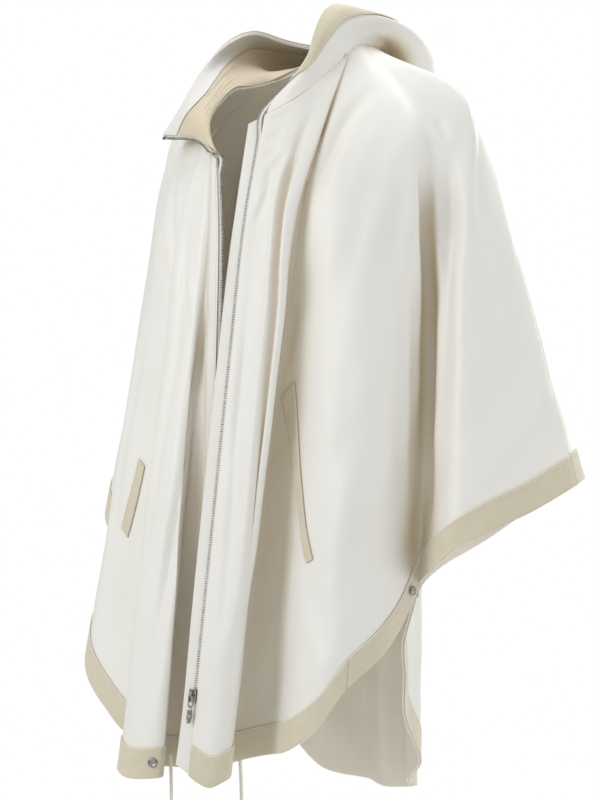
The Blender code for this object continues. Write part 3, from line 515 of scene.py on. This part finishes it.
def distanceToPath(points, path):
    # Distance of every point from a path, and how far along the path its nearest place is, as a share.
    away = np.full(points.shape[:2], 1e9)
    nearest = np.zeros(points.shape[:2])
    for k in range(len(path) - 1):
        way = path[k + 1] - path[k]
        share = np.clip((points - path[k]) @ way / max(way @ way, 1e-12), 0, 1)
        apart = np.linalg.norm(points - path[k] - share[..., None] * way, axis=-1)
        closer = apart < away
        away[closer] = apart[closer]
        nearest[closer] = (k + share[closer]) / (len(path) - 1)
    return away, nearest


def pressFolds(cloth, folds, calm, waves):
    # Presses creases into the cloth, each a trough with soft ridges beside it, and adds long low waves.
    points = cloth["points"]
    push = np.zeros(points.shape[:2])
    for depth, width, *places in folds:
        last = len(places) - 1
        steps = np.linspace(0, last, creaseLook["stepsPerPlace"] * last + 1)
        shares = np.stack([np.interp(steps, range(len(places)), [place[k] for place in places])
                           for k in (0, 1)], axis=1)
        for _ in range(creaseLook["rounding"]):
            shares[1:-1] = (shares[:-2] + 2 * shares[1:-1] + shares[2:]) / 4
        path = np.array([placeOn(points, across, down) for across, down in shares])
        away, nearest = distanceToPath(points, path)
        away = away / (width * millimetre)
        taper = easeIn(nearest, creaseLook["taper"]) * easeIn(1 - nearest, creaseLook["taper"])
        ridges = creaseLook["ridge"] * np.exp(-(away - creaseLook["ridgeAt"]) ** 2)
        push -= depth * millimetre * taper * (np.exp(-away ** 2) - ridges)
    chance = np.random.default_rng(waves["seed"])
    across, down = lengthsOf(points, 0), lengthsOf(points, 1)
    for height, length, lean in waves["rows"]:
        for turn in range(waveLook["each"]):
            angle = chance.uniform(-waveLook["turn"], waveLook["turn"]) + lean
            phase = chance.uniform(0, math.tau)
            size = length * chance.uniform(waveLook["shortest"], waveLook["longest"])
            way = across * math.cos(angle) + down * math.sin(angle)
            sway = waveLook["sway"] * np.sin(down * waveLook["swayRate"] + turn)
            push += height * np.sin(math.tau * way / size + phase + sway) / waveLook["each"]
    cloth["points"] = points + cloth["normals"] * (push * calm)[:, :, None]
    return renewNormals(cloth)


# Pieces

def addPiece(name, mesh, coats, nodes=(), body="cape"):
    piece = bpy.data.objects.new(name, mesh)
    bpy.context.collection.objects.link(piece)
    for coat in coats:
        mesh.materials.append(finishes[coat])
    mesh.shade_smooth()
    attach(piece, body)
    if nodes:
        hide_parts(*nodes)
    return piece


rimLook = {"round": 0.0004, "segments": 2, "angle": 60}
# the least that the frame's sheet call takes
leastSheet = {"side": 0.011, "share": 0.31}       # the least side, and the least area as a share of width times length, that a sheet is given


def addWall(name, points, normals, sign, thick, coats, nodes=(), edge=rimLook["round"]):
    # A closed cloth wall inward from a grid, with rounded rims; a second coat goes on its inner face.
    columns, rows = points.shape[:2]
    count = columns * rows
    at = np.arange(count).reshape(columns, rows)
    quads = np.stack([at[:-1, :-1], at[:-1, 1:], at[1:, 1:], at[1:, :-1]], axis=-1).reshape(-1, 4)
    inside = quads[:, ::-1] + count
    around = np.concatenate([at[:, 0], at[-1, 1:], at[-2::-1, -1], at[0, -2:0:-1]])
    after = np.roll(around, -1)
    faces = np.concatenate([quads, inside, np.stack([around, after, after + count, around + count], axis=-1)])
    if sign < 0:
        faces = faces[:, ::-1]
    mesh = bpy.data.meshes.new(name)
    corners = np.concatenate([points.reshape(-1, 3), (points - normals * thick).reshape(-1, 3)])
    mesh.from_pydata(corners.tolist(), [], faces.tolist())
    lengths = np.stack([lengthsOf(points, 0).ravel(), lengthsOf(points, 1).ravel()], axis=-1)
    flat = np.tile(lengths, (2, 1))[faces.ravel()]
    layer = mesh.uv_layers.new(name="cut")
    layer.data.foreach_set("uv", flat.ravel())
    if len(coats) > 1:
        kinds = np.zeros(len(faces), dtype=np.int32)
        kinds[len(quads):len(quads) * 2] = 1
        mesh.polygons.foreach_set("material_index", kinds)
    piece = addPiece(name, mesh, coats, nodes)
    rounding = piece.modifiers.new("rounding", "BEVEL")
    rounding.width = edge
    rounding.segments = rimLook["segments"]
    rounding.limit_method = "ANGLE"
    rounding.angle_limit = math.radians(rimLook["angle"])
    declareSheet(piece, points)
    return piece


def declareSheet(piece, points):
    # The cut of a cloth piece, from its own lengths.
    width = float(lengthsOf(points, 0)[-1].max())
    length = float(lengthsOf(points, 1)[:, -1].max())
    lean = np.cross(points[1:, :-1] - points[:-1, :-1], points[:-1, 1:] - points[:-1, :-1])
    area = float(np.linalg.norm(lean, axis=-1).sum())
    width, length = (max(round(size, 3), leastSheet["side"]) for size in (width, length))
    area = min(max(area, leastSheet["share"] * width * length), width * length)
    print(f"sheet {piece.name}: {width * 1000:.0f} x {length * 1000:.0f} mm, {area * 1e4:.0f} cm2")


def tubeMesh(name, path, radius, sides, closed=False):
    # A round tube along a path, with flat ends or joined to itself.
    path = np.asarray(path, dtype=float)
    if closed:
        ways = unit(np.roll(path, -1, axis=0) - np.roll(path, 1, axis=0))
    else:
        ways = unit(np.gradient(path, axis=0))
    angles = [math.tau * k / sides for k in range(sides)]
    side = np.cross(ways[0], (0.3, 0.2, 1.0))         # any way that no path here starts along
    corners = []
    for point, way in zip(path, ways):
        side = unit(side - way * np.dot(side, way))
        other = np.cross(way, side)
        corners += [point + radius * (side * math.cos(angle) + other * math.sin(angle)) for angle in angles]
    faces = []
    rings = len(path)
    for ring in range(rings if closed else rings - 1):
        low, high = ring * sides, (ring + 1) % rings * sides
        for k in range(sides):
            after = (k + 1) % sides
            faces.append((low + k, low + after, high + after, high + k))
    if not closed:
        faces.append(tuple(range(sides))[::-1])
        faces.append(tuple((rings - 1) * sides + k for k in range(sides)))
    mesh = bpy.data.meshes.new(name)
    mesh.from_pydata([tuple(corner) for corner in corners], [], faces)
    return mesh


def lathe(name, profile, sides, centre, axis):
    # A turned form: pairs of radius and height, round an axis.
    turn = Vector(axis).normalized().to_track_quat("Z", "Y").to_matrix()
    corners, faces = [], []
    for radius, height in profile:
        for k in range(sides):
            angle = math.tau * k / sides
            place = turn @ Vector((radius * math.cos(angle), radius * math.sin(angle), height))
            corners.append(tuple(Vector(centre) + place))
    for ring in range(len(profile) - 1):
        for k in range(sides):
            after = (k + 1) % sides
            low, high = ring * sides, (ring + 1) * sides
            faces.append((low + k, low + after, high + after, high + k))
    faces.append(tuple(range(sides))[::-1])
    faces.append(tuple((len(profile) - 1) * sides + k for k in range(sides)))
    mesh = bpy.data.meshes.new(name)
    mesh.from_pydata(corners, [], faces)
    return mesh


blockCrease = 0.55            # how much of a block's sharp edge is kept


def repeatTree():
    # Geometry Nodes: one small rounded block on every point, turned by the point's own angles.
    tree = bpy.data.node_groups.new("repeatAlong", "GeometryNodeTree")
    sockets = tree.interface
    sockets.new_socket(name="Points", in_out="INPUT", socket_type="NodeSocketGeometry")
    sockets.new_socket(name="Block size", in_out="INPUT", socket_type="NodeSocketVector")
    sockets.new_socket(name="Roundness", in_out="INPUT", socket_type="NodeSocketInt")
    sockets.new_socket(name="Finish", in_out="INPUT", socket_type="NodeSocketMaterial")
    sockets.new_socket(name="Blocks", in_out="OUTPUT", socket_type="NodeSocketGeometry")
    nodes, links = tree.nodes, tree.links
    given, made = nodes.new("NodeGroupInput"), nodes.new("NodeGroupOutput")
    block = nodes.new("GeometryNodeMeshCube")
    soft = nodes.new("GeometryNodeSubdivisionSurface")
    soft.inputs["Edge Crease"].default_value = blockCrease
    angles = nodes.new("GeometryNodeInputNamedAttribute")
    angles.data_type = "FLOAT_VECTOR"
    angles.inputs["Name"].default_value = "turn"
    place = nodes.new("GeometryNodeInstanceOnPoints")
    real = nodes.new("GeometryNodeRealizeInstances")
    coat = nodes.new("GeometryNodeSetMaterial")
    links.new(given.outputs["Block size"], block.inputs["Size"])
    links.new(block.outputs["Mesh"], soft.inputs["Mesh"])
    links.new(given.outputs["Roundness"], soft.inputs["Level"])
    links.new(given.outputs["Points"], place.inputs["Points"])
    links.new(soft.outputs["Mesh"], place.inputs["Instance"])
    links.new(angles.outputs["Attribute"], place.inputs["Rotation"])
    links.new(place.outputs["Instances"], real.inputs["Geometry"])
    links.new(real.outputs["Geometry"], coat.inputs["Geometry"])
    links.new(given.outputs["Finish"], coat.inputs["Material"])
    links.new(coat.outputs["Geometry"], made.inputs["Blocks"])
    return tree


repeatGroup = repeatTree()


def addRepeated(name, runs, size, roundness, coat, nodes=()):
    # Blocks along paths; each run is points, the ways along and the ways out of the cloth.
    places, turns = [], []
    for points, ways, outs in runs:
        for point, way, out in zip(points, ways, outs):
            across = unit(np.cross(way, out))
            out = np.cross(across, way)
            turn = np.array([across, way, out]).T
            places.append(tuple(point))
            turns.extend(Matrix(turn.tolist()).to_euler())
    mesh = bpy.data.meshes.new(name + "Points")
    mesh.from_pydata(places, [], [])
    mesh.attributes.new("turn", "FLOAT_VECTOR", "POINT").data.foreach_set("vector", turns)
    seed = bpy.data.objects.new(name + "Points", mesh)
    bpy.context.collection.objects.link(seed)
    repeat = seed.modifiers.new("repeat", "NODES")
    repeat.node_group = repeatGroup
    ids = {item.name: item.identifier for item in repeatGroup.interface.items_tree
           if item.item_type == "SOCKET" and item.in_out == "INPUT"}
    repeat[ids["Block size"]] = size
    repeat[ids["Roundness"]] = roundness
    repeat[ids["Finish"]] = finishes[coat]
    ready = seed.evaluated_get(bpy.context.evaluated_depsgraph_get())
    made = bpy.data.meshes.new_from_object(ready)
    made.name = name
    made.materials.clear()
    bpy.data.objects.remove(seed)
    return addPiece(name, made, [coat], nodes)


def pacedRun(path, outs, pitch, lift=0.0, start=0.0, stop=0.0):
    # Evenly spaced places along a path, with the ways along it and out of the cloth.
    walked = np.concatenate([[0], np.cumsum(np.linalg.norm(np.diff(path, axis=0), axis=1))])
    room = walked[-1] - start - stop
    count = max(int(room / pitch), 1)
    at = start + (np.arange(count) + 0.5) * room / count
    ways = unit(np.gradient(path, axis=0))
    places, ways, outs = (np.stack([np.interp(at, walked, values[:, k]) for k in range(3)], axis=1)
                          for values in (path, ways, outs))
    outs = unit(outs)
    return places + outs * lift, unit(ways), outs


right, ahead, target = buildView(view)
buildLamps(right, ahead, target)
buildFloor(ground)


# Drawcords, each a free end with a knot

cords = {
    # name: (x, y, top, length, sway), as the frame's own routes
    "drawcord_left": (0.061, -0.149, -0.668, 0.095, 0.004),
    "drawcord_right": (-0.014, -0.170, -0.668, 0.085, 0.003),
}
cordLook = {
    "radius": 0.0017, "steps": 48, "sides": 12,
    "knotRadius": 0.0038, "knotWire": 0.0013, "knotSteps": 60, "knotSides": 10, "knotRise": 0.8,
    "gap": 0.0003,
}


def cordPath(x, y, top, length, sway):
    path = []
    for share in np.linspace(0, 1, cordLook["steps"] + 1):
        bend = sway * math.sin(math.pi * share) * (1 - 0.4 * share)
        path.append((x + bend, y - bend / 2, top - length * share))
    return path


def knotPath(x, y, z, size):
    # An overhand knot drawn tight.
    path = []
    for k in range(cordLook["knotSteps"]):
        turn = math.tau * k / cordLook["knotSteps"]
        path.append((x + size * (math.sin(turn) + 2 * math.sin(2 * turn)) / 3,
                     y + size * (math.cos(turn) - 2 * math.cos(2 * turn)) / 3,
                     z - size * math.sin(3 * turn) * cordLook["knotRise"]))
    return path


for node, (x, y, top, length, sway) in cords.items():
    path = cordPath(x, y, top, length, sway)
    cord = tubeMesh(node, path, cordLook["radius"], cordLook["sides"])
    tube = addPiece(node.replace("draw", "braided_"), cord, ["cord"], [node])
    knotNode = node.replace("drawcord", "cord_knot")
    centre = top - length - cordLook["knotRadius"] - cordLook["gap"]
    knotSize = cordLook["knotRadius"] - cordLook["knotWire"]
    tied = tubeMesh(knotNode, knotPath(x, y, centre, knotSize), cordLook["knotWire"],
                    cordLook["knotSides"], closed=True)
    knot = addPiece("tied_" + knotNode, tied, ["cord"], [knotNode])
print("cords made:", len(cords))


# Cape panels

cape = {
    "thick": 0.0016,
    "rows": 12,               # rows of points in the wall's own grid
    "spacing": {"left": 0.0020, "back": 0.0030, "right": 0.0026}, "rowSpacing": 0.0034,
    "calmFront": 0.014, "calmSeam": 0.010, "calmPull": 0.040, "pullRoom": 0.02,
    "pullPlace": (0.034, -0.194, -0.610),
}
# Long low waves: a fixed seed, then height, length and lean of each row
unevenness = {
    "left": {"seed": 4, "rows": [(0.0010, 0.110, 0.15), (0.0002, 0.045, 0.5)]},
    "back": {"seed": 9, "rows": [(0.0013, 0.120, 0.10), (0.0003, 0.050, 0.4)]},
    "right": {"seed": 12, "rows": [(0.0010, 0.100, -0.15), (0.0002, 0.045, -0.4)]},
    "hood": {"seed": 21, "rows": [(0.0007, 0.070, 0.3), (0.0002, 0.030, 0.8)]},
}
# Creases: depth and width in millimetres, then points as shares of the way across and down
leftFolds = [
    (7, 4, (0.127, 0.040), (0.114, 0.119), (0.114, 0.222), (0.139, 0.341), (0.139, 0.468),
     (0.152, 0.643), (0.152, 0.849)),
    (1.8, 7, (0.570, 0.079), (0.367, 0.119), (0.304, 0.206)),
    (2, 8, (0.430, 0.087), (0.329, 0.159), (0.291, 0.246)),
    (1.6, 12, (0.620, 0.127), (0.456, 0.254), (0.418, 0.389)),
    (1.6, 4, (0.051, 0.119), (0.051, 0.183), (0.025, 0.230)),
    (1.2, 4, (0.076, 0.024), (0.013, 0.016)),
    (1, 4, (0.063, 0.056), (0.013, 0.056)),
    (1, 4, (0.063, 0.087), (0.013, 0.095)),
    (1.2, 5, (0.114, 0.063), (0.089, 0.111), (0.038, 0.135), (0.025, 0.175)),
    (9, 8, (0.658, 0.254), (0.684, 0.357), (0.722, 0.524), (0.734, 0.738), (0.747, 0.960)),
    (-2.5, 7, (0.620, 0.214), (0.608, 0.389), (0.633, 0.635), (0.658, 0.889)),
    (2.2, 8, (0.772, 0.294), (0.772, 0.468), (0.785, 0.730)),
    (-1.8, 9, (0.785, 0.302), (0.873, 0.500), (0.949, 0.810)),
    (1.5, 6, (0.734, 0.222), (0.759, 0.278)),
    (1.6, 10, (0.380, 0.754), (0.430, 0.849), (0.468, 0.929)),
    (1.5, 6, (0.038, 0.278), (0.038, 0.468), (0.063, 0.690), (0.063, 0.849)),
    (1.3, 12, (0.456, 0.460), (0.456, 0.675)),
    (1.6, 10, (0.544, 0.627), (0.519, 0.770), (0.506, 0.881)),
    (1.2, 9, (0.570, 0.262), (0.532, 0.381), (0.519, 0.516)),
    (1, 6, (0.266, 0.357), (0.253, 0.468)),
]
backFolds = [
    (4.0, 6, (0.10, 0.22), (0.15, 0.45), (0.17, 0.75)), (1.8, 8, (0.06, 0.28), (0.10, 0.42), (0.16, 0.50)),
    (2.5, 8, (0.22, 0.20), (0.26, 0.48), (0.27, 0.86)), (1.8, 9, (0.33, 0.14), (0.35, 0.34), (0.35, 0.55)),
    (3.0, 7, (0.40, 0.20), (0.41, 0.50), (0.43, 0.88)), (1.5, 10, (0.50, 0.10), (0.50, 0.30), (0.49, 0.48)),
    (2.8, 7, (0.58, 0.22), (0.57, 0.52), (0.56, 0.86)), (1.8, 9, (0.66, 0.14), (0.65, 0.34), (0.66, 0.52)),
    (2.5, 8, (0.78, 0.20), (0.74, 0.48), (0.73, 0.86)), (1.8, 8, (0.94, 0.28), (0.90, 0.40), (0.84, 0.50)),
    (4.0, 6, (0.90, 0.22), (0.85, 0.45), (0.83, 0.75)), (1.6, 9, (0.30, 0.62), (0.33, 0.76), (0.34, 0.90)),
    (1.6, 9, (0.68, 0.60), (0.66, 0.75), (0.65, 0.90)),
]
rightFolds = [
    (3, 6, (0.821, 0.103), (0.846, 0.328), (0.821, 0.509), (0.821, 0.681)),
    (3, 6, (0.987, 0.207), (0.910, 0.405), (0.885, 0.612), (0.872, 0.802)),
    (2, 9, (0.577, 0.328), (0.551, 0.595), (0.577, 0.845)),
    (1.8, 9, (0.885, 0.543), (0.872, 0.733), (0.859, 0.879)),
    (1.5, 5, (0.962, 0.328), (0.962, 0.509), (0.962, 0.672)),
    (2, 6, (0.551, 0.129), (0.667, 0.207), (0.782, 0.284)),
    (1.5, 5, (0.833, 0.224), (0.885, 0.328)),
    (1.5, 9, (0.654, 0.681), (0.641, 0.871)),
]


def calmPanel(points, front):
    # Where creases fade out: at the front edge, the seams, the neck and round the pull.
    across, down = lengthsOf(points, 0), lengthsOf(points, 1)
    ends = [across, across[-1:] - across]
    reach = [cape["calmFront"] if front == k else cape["calmSeam"] for k in (0, 1)]
    calm = easeIn(ends[0], reach[0]) * easeIn(ends[1], reach[1]) * easeIn(down, cape["calmSeam"])
    fromPull = np.linalg.norm(points - np.array(cape["pullPlace"]), axis=-1)
    return calm * easeIn(fromPull - cape["pullRoom"], cape["calmPull"])


panels = {}
for name, node, folds, front in (("left", "front_left", leftFolds, 0), ("back", "back", backFolds, None),
                                 ("right", "front_right", rightFolds, 1)):
    cloth = fineCloth(*wallGrid(node, cape["rows"], cape["thick"]), cape["spacing"][name], cape["rowSpacing"])
    pressFolds(cloth, folds, calmPanel(cloth["points"], front), unevenness[name])
    panels[name] = cloth
    addWall("cloth" + name.capitalize(), cloth["points"], cloth["normals"], cloth["sign"], cape["thick"],
            ["cloth", "inside"], [node])
print("panels made:", {name: cloth["points"].shape[:2] for name, cloth in panels.items()})


# Hem bands of suede, with a piped upper edge

bands = {
    "width": 0.030, "low": 0.0003, "thick": 0.0012, "edge": 0.0003, "gap": 0.0002,
    "pipe": 0.0008, "pipeLift": 0.0009, "pipeSides": 8, "stitchIn": 0.003,
}
# name: panel, first and last of the wall's own columns
bandRuns = {
    "hem_trim_left": ("left", 0, 17), "hem_trim_left_arm": ("left", 17, None),
    "hem_trim_back": ("back", 0, None), "hem_trim_right_arm": ("right", 0, 19),
    "hem_trim_right": ("right", 19, None),
}
stitchLines = []
for node, (panel, first, last) in bandRuns.items():
    cloth = panels[panel]
    marks = cloth["columnsAt"]
    low, high = marks[first], marks[-1 if last is None else last]
    top = cloth["rowsAt"][-2]
    points, normals = (cloth[key][low:high + 1, top:].copy() for key in ("points", "normals"))
    if first:
        points[0] += unit(points[1] - points[0]) * bands["gap"]
    if last is not None:
        points[-1] += unit(points[-2] - points[-1]) * bands["gap"]
    outer = points + normals * (bands["low"] + bands["thick"])
    addWall(node.replace("hem_trim", "hemBand"), outer, normals, cloth["sign"], bands["thick"], ["leather"],
            [node], bands["edge"])
    pipe = points[:, 0] + normals[:, 0] * bands["pipeLift"]
    addPiece(node.replace("hem_trim", "hemPiping"), tubeMesh(node, pipe, bands["pipe"], bands["pipeSides"]),
             ["piping"])
    share = bands["stitchIn"] / bands["width"] * (outer.shape[1] - 1)
    row = int(share)
    line = outer[:, row] + (outer[:, row + 1] - outer[:, row]) * (share - row)
    stitchLines.append((line, normals[:, row]))
print("hem bands made:", len(bandRuns))


# Hood: shell, suede edge, lining and facing

hood = {
    "thick": 0.0016, "spacing": 0.0040, "clear": 0.0005, "lining": 0.0010, "trim": 0.0012,
    "rows": 13, "trimRow": 10,        # rows of points in a half's own grid, and where the edge band starts
    "seamGap": 0.0003, "calmEnds": 0.012, "calmSeam": 0.008, "calmEdge": 0.02,
}
hoodFolds = [
    (1.2, 6, (0.10, 0.30), (0.30, 0.55)), (1.3, 6, (0.32, 0.60), (0.50, 0.80)),
    (1.2, 6, (0.55, 0.35), (0.70, 0.60)), (1.2, 6, (0.68, 0.55), (0.86, 0.70)),
    (1.0, 6, (0.42, 0.20), (0.58, 0.30)),
]
trimPoints = nodeMesh("hood_trim")[0]
neckLine = np.concatenate([panels[name]["points"][:, 0] for name in ("left", "back", "right")])
halves = []
for node in ("hood_left", "hood_right"):
    grid, sign = wallGrid(node, hood["rows"], hood["thick"], beside=trimPoints)
    reach = [np.linalg.norm(grid[:, row, None] - neckLine, axis=-1).min(axis=1).mean() for row in (0, -1)]
    halves.append(grid if reach[0] < reach[1] else grid[::-1, ::-1])
join = (halves[0][-1] + halves[1][0]) / 2
hoodGrid = np.concatenate([halves[0][:-1], join[None], halves[1][1:]])
# The lower edge is closed up to the panels' own upper edge
for k in range(hoodGrid.shape[0]):
    away = np.linalg.norm(neckLine - hoodGrid[k, 0], axis=1)
    nearest = neckLine[away.argmin()]
    gap = nearest - hoodGrid[k, 0]
    hoodGrid[k, 0] += gap * (1 - hood["seamGap"] / max(np.linalg.norm(gap), 1e-6))
hoodCloth = fineCloth(hoodGrid, sign, hood["spacing"])
across, down = lengthsOf(hoodCloth["points"], 0), lengthsOf(hoodCloth["points"], 1)
calm = (easeIn(across, hood["calmEnds"]) * easeIn(across[-1:] - across, hood["calmEnds"])
        * easeIn(down, hood["calmSeam"]) * easeIn(down[:, -1:] - down, hood["calmEdge"]))
pressFolds(hoodCloth, hoodFolds, calm, unevenness["hood"])
points, normals, sign = hoodCloth["points"], hoodCloth["normals"], hoodCloth["sign"]
middle = hoodCloth["columnsAt"][len(halves[0]) - 1]
trimTop = hoodCloth["rowsAt"][hood["trimRow"]]
for name, node, part in (("hoodLeft", "hood_left", slice(0, middle + 1)),
                         ("hoodRight", "hood_right", slice(middle, None))):
    addWall(name, points[part], normals[part], sign, hood["thick"], ["cloth"], [node])
outer = points[:, trimTop:] + normals[:, trimTop:] * (hood["clear"] + hood["trim"])
addWall("hoodBand", outer, normals[:, trimTop:], sign, hood["trim"], ["leather"], ["hood_trim"], bands["edge"])
stitchLines.append((outer[:, 1], normals[:, trimTop + 1]))
under = points - normals * (hood["thick"] + hood["clear"])
addWall("hoodLining", under[:, :trimTop], normals[:, :trimTop], sign, hood["lining"], ["lining"],
        ["hood_lining"], bands["edge"])
addWall("hoodFacing", under[:, trimTop:], normals[:, trimTop:], sign, hood["lining"], ["white"],
        ["hood_facing"], bands["edge"])
print("hood made:", points.shape[:2])


# Front edges: placket with piping on the right, wind flap on the left

placket = {
    "inset": 0.0005, "width": 0.014, "collarWidth": 0.022, "rise": 0.0008, "thick": 0.0010,
    "pipe": 0.0011, "pipeSides": 10, "columns": 7,
    "overBand": 0.0014, "overBandReach": 0.08,        # the facing's extra height over the hood's edge band
}


def edgeStrip(points, normals, widths):
    # A strip beside a grid's first column, at distances from it along the cloth.
    walked = lengthsOf(points, 0)
    columns = []
    for width in widths:
        columns.append([[np.interp(width[j], walked[:, j], values[:, j, k]) for k in range(3)]
                        for values in (points, normals) for j in range(points.shape[1])])
    columns = np.array(columns)
    count = points.shape[1]
    return columns[:, :count], unit(columns[:, count:])


bandTop = panels["right"]["rowsAt"][-2]
points, normals = (panels["right"][key][::-1, :bandTop + 1] for key in ("points", "normals"))
shares = np.linspace(0, 1, placket["columns"])
widths = [np.full(points.shape[1], placket["inset"] + (placket["width"] - placket["inset"]) * share)
          for share in shares]
strip, lean = edgeStrip(points, normals, widths)
strip = strip[:, 1:-1] + lean[:, 1:-1] * (placket["rise"] + placket["thick"])
lean = lean[:, 1:-1]
addWall("placket", strip[::-1], lean[::-1], panels["right"]["sign"], placket["thick"], ["white"],
        ["placket_right"], bands["edge"])
piping = tubeMesh("placketPiping", strip[-1] - lean[-1] * placket["thick"] / 2, placket["pipe"],
                  placket["pipeSides"])
addPiece("placketPiping", piping, ["piping"])
stitchLines += [(strip[1], lean[1]), (strip[-2], lean[-2])]
points, normals = (hoodCloth[key][::-1] for key in ("points", "normals"))
rise = np.linspace(0, 1, points.shape[1])
widths = [placket["inset"] + (placket["width"] + (placket["collarWidth"] - placket["width"])
                              * rise - placket["inset"]) * share for share in shares]
strip, lean = edgeStrip(points, normals, widths)
reach = placket["overBandReach"]
lift = placket["rise"] + placket["thick"] + placket["overBand"] * easeIn(rise - rise[trimTop] + reach, reach)
strip, lean = (strip + lean * lift[None, :, None])[:, 1:], lean[:, 1:]
addWall("collarFacing", strip[::-1], lean[::-1], sign, placket["thick"], ["white"], (), bands["edge"])
piping = tubeMesh("collarPiping", strip[-1], placket["pipe"], placket["pipeSides"])
addPiece("collarPiping", piping, ["piping"])
stitchLines += [(strip[1], lean[1]), (strip[-2], lean[-2])]

flap = {"thick": 0.0012, "spacing": 0.0050}
cloth = fineCloth(*wallGrid("flap_left", cape["rows"], flap["thick"]), flap["spacing"])
addWall("windFlap", cloth["points"], cloth["normals"], cloth["sign"], flap["thick"], ["white"],
        ["flap_left"], bands["edge"])
print("front edges made")


# Pocket welts, laid on the panels

welt = {"low": 0.0006, "thick": 0.0012, "spacing": 0.0040, "rows": 12, "stitchIn": 0.0016}


def surfaceOf(cloth):
    # A panel's surface, to look up the nearest place on it.
    columns, rows = cloth["points"].shape[:2]
    at = np.arange(columns * rows).reshape(columns, rows)
    quads = np.stack([at[:-1, :-1], at[1:, :-1], at[1:, 1:], at[:-1, 1:]], axis=-1).reshape(-1, 4)
    return BVHTree.FromPolygons([tuple(point) for point in cloth["points"].reshape(-1, 3)], quads.tolist())


for name, node, panel in (("weltLeft", "welt_left", "left"), ("weltRight", "welt_right", "right")):
    cloth = fineCloth(*wallGrid(node, welt["rows"], welt["thick"]), welt["spacing"])
    surface = surfaceOf(panels[panel])
    points = cloth["points"]
    for i in range(points.shape[0]):
        for j in range(points.shape[1]):
            found = surface.find_nearest(Vector(points[i, j]))[0]
            points[i, j] = np.array(found) + cloth["normals"][i, j] * (welt["low"] + welt["thick"])
    renewNormals(cloth)
    addWall(name, points, cloth["normals"], cloth["sign"], welt["thick"], ["leather"], [node], bands["edge"])
    for line in (0, -1):
        inward = unit(points[1 if line == 0 else -2] - points[line])
        stitchLines.append((points[line] + inward * welt["stitchIn"], cloth["normals"][line]))
print("welts made")


# Zips: tape and teeth on both front edges

zipLook = {
    "pitch": 0.0024, "tooth": (0.0034, 0.0013, 0.0018), "roundness": 1,
    "thick": 0.0018, "spacing": 0.0030,
    "tapeThick": 0.0007, "tapeEdge": 0.0001,
    "tapeInto": 0.0019, "tapeUnder": 0.0016,      # from the teeth's edge into the cloth, and under the teeth
}
teeth = []
for side in ("left", "right"):
    node = "zip_" + side
    count = (len(nodeMesh(node)[1]) // 4 + 1) // 2        # the rail has two columns of points
    cloth = fineCloth(*wallGrid(node, count, zipLook["thick"]), zipLook["spacing"])
    near, far = (-1, 0) if side == "left" else (0, -1)
    points, normals = cloth["points"] - cloth["normals"] * zipLook["thick"] / 2, cloth["normals"]
    toCloth = unit(points[near] - points[far])
    teeth.append(pacedRun((points[near] + points[far]) / 2, normals[near], zipLook["pitch"]))
    root = points[near] + toCloth * zipLook["tapeInto"]
    tip = points[near] - toCloth * zipLook["tapeUnder"]
    tape = np.stack([tip, (root + tip) / 2, root] if side == "left" else [root, (root + tip) / 2, tip])
    lean = np.stack([normals[near]] * 3)
    addWall("zipTape_" + side, tape + lean * zipLook["tapeThick"] / 2, lean, cloth["sign"],
            zipLook["tapeThick"], ["white"], (), zipLook["tapeEdge"])
addRepeated("zipTeeth", teeth, zipLook["tooth"], zipLook["roundness"], "metal", ["zip_left", "zip_right"])
print("teeth made:", sum(len(run[0]) for run in teeth))


# Stitches

stitch = {"pitch": 0.0034, "size": (0.0005, 0.0023, 0.0004), "roundness": 0, "lift": 0.0001}
seams = [pacedRun(line, outs, stitch["pitch"], stitch["lift"]) for line, outs in stitchLines]
addRepeated("stitches", seams, stitch["size"], stitch["roundness"], "thread")
print("stitches made:", sum(len(run[0]) for run in seams))


# Snaps, slider and pull

snap = {
    "sides": 40,
    "profile": [              # radius and height, from the post that reaches into the leather to the dished cap
        (0.0018, -0.0020), (0.0018, -0.0004), (0.0044, 0.0000), (0.0049, 0.0003), (0.0050, 0.0009),
        (0.0047, 0.0016), (0.0041, 0.0021), (0.0034, 0.0020), (0.0027, 0.0016), (0.0012, 0.0015),
    ],
}
snapPanels = {"snap_left_front": "left", "snap_left_back": "back", "snap_right_front": "right",
              "snap_right_back": "back", "snap_hem_right": "right"}
for node, panel in snapPanels.items():
    corners = nodeMesh(node)[0]
    middle = corners.mean(axis=0)
    cloth = panels[panel]
    away = np.linalg.norm(cloth["points"] - middle, axis=-1)
    axis = cloth["normals"][np.unravel_index(away.argmin(), away.shape)]
    centre = middle + axis * np.dot(corners - middle, axis).min()
    addPiece(node.replace("snap_", "snapCap_"), lathe(node, snap["profile"], snap["sides"], centre, axis),
             ["metal"], [node])
# The slider, the stops and the pull keep the frame's own shapes
for node in ("slider", "zip_stop_left", "zip_stop_right", "pull_link", "pull_ring", "pull_tab"):
    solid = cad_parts[node]
    solid.data.materials.clear()
    solid.data.materials.append(finishes["metal"])
print("metal made")
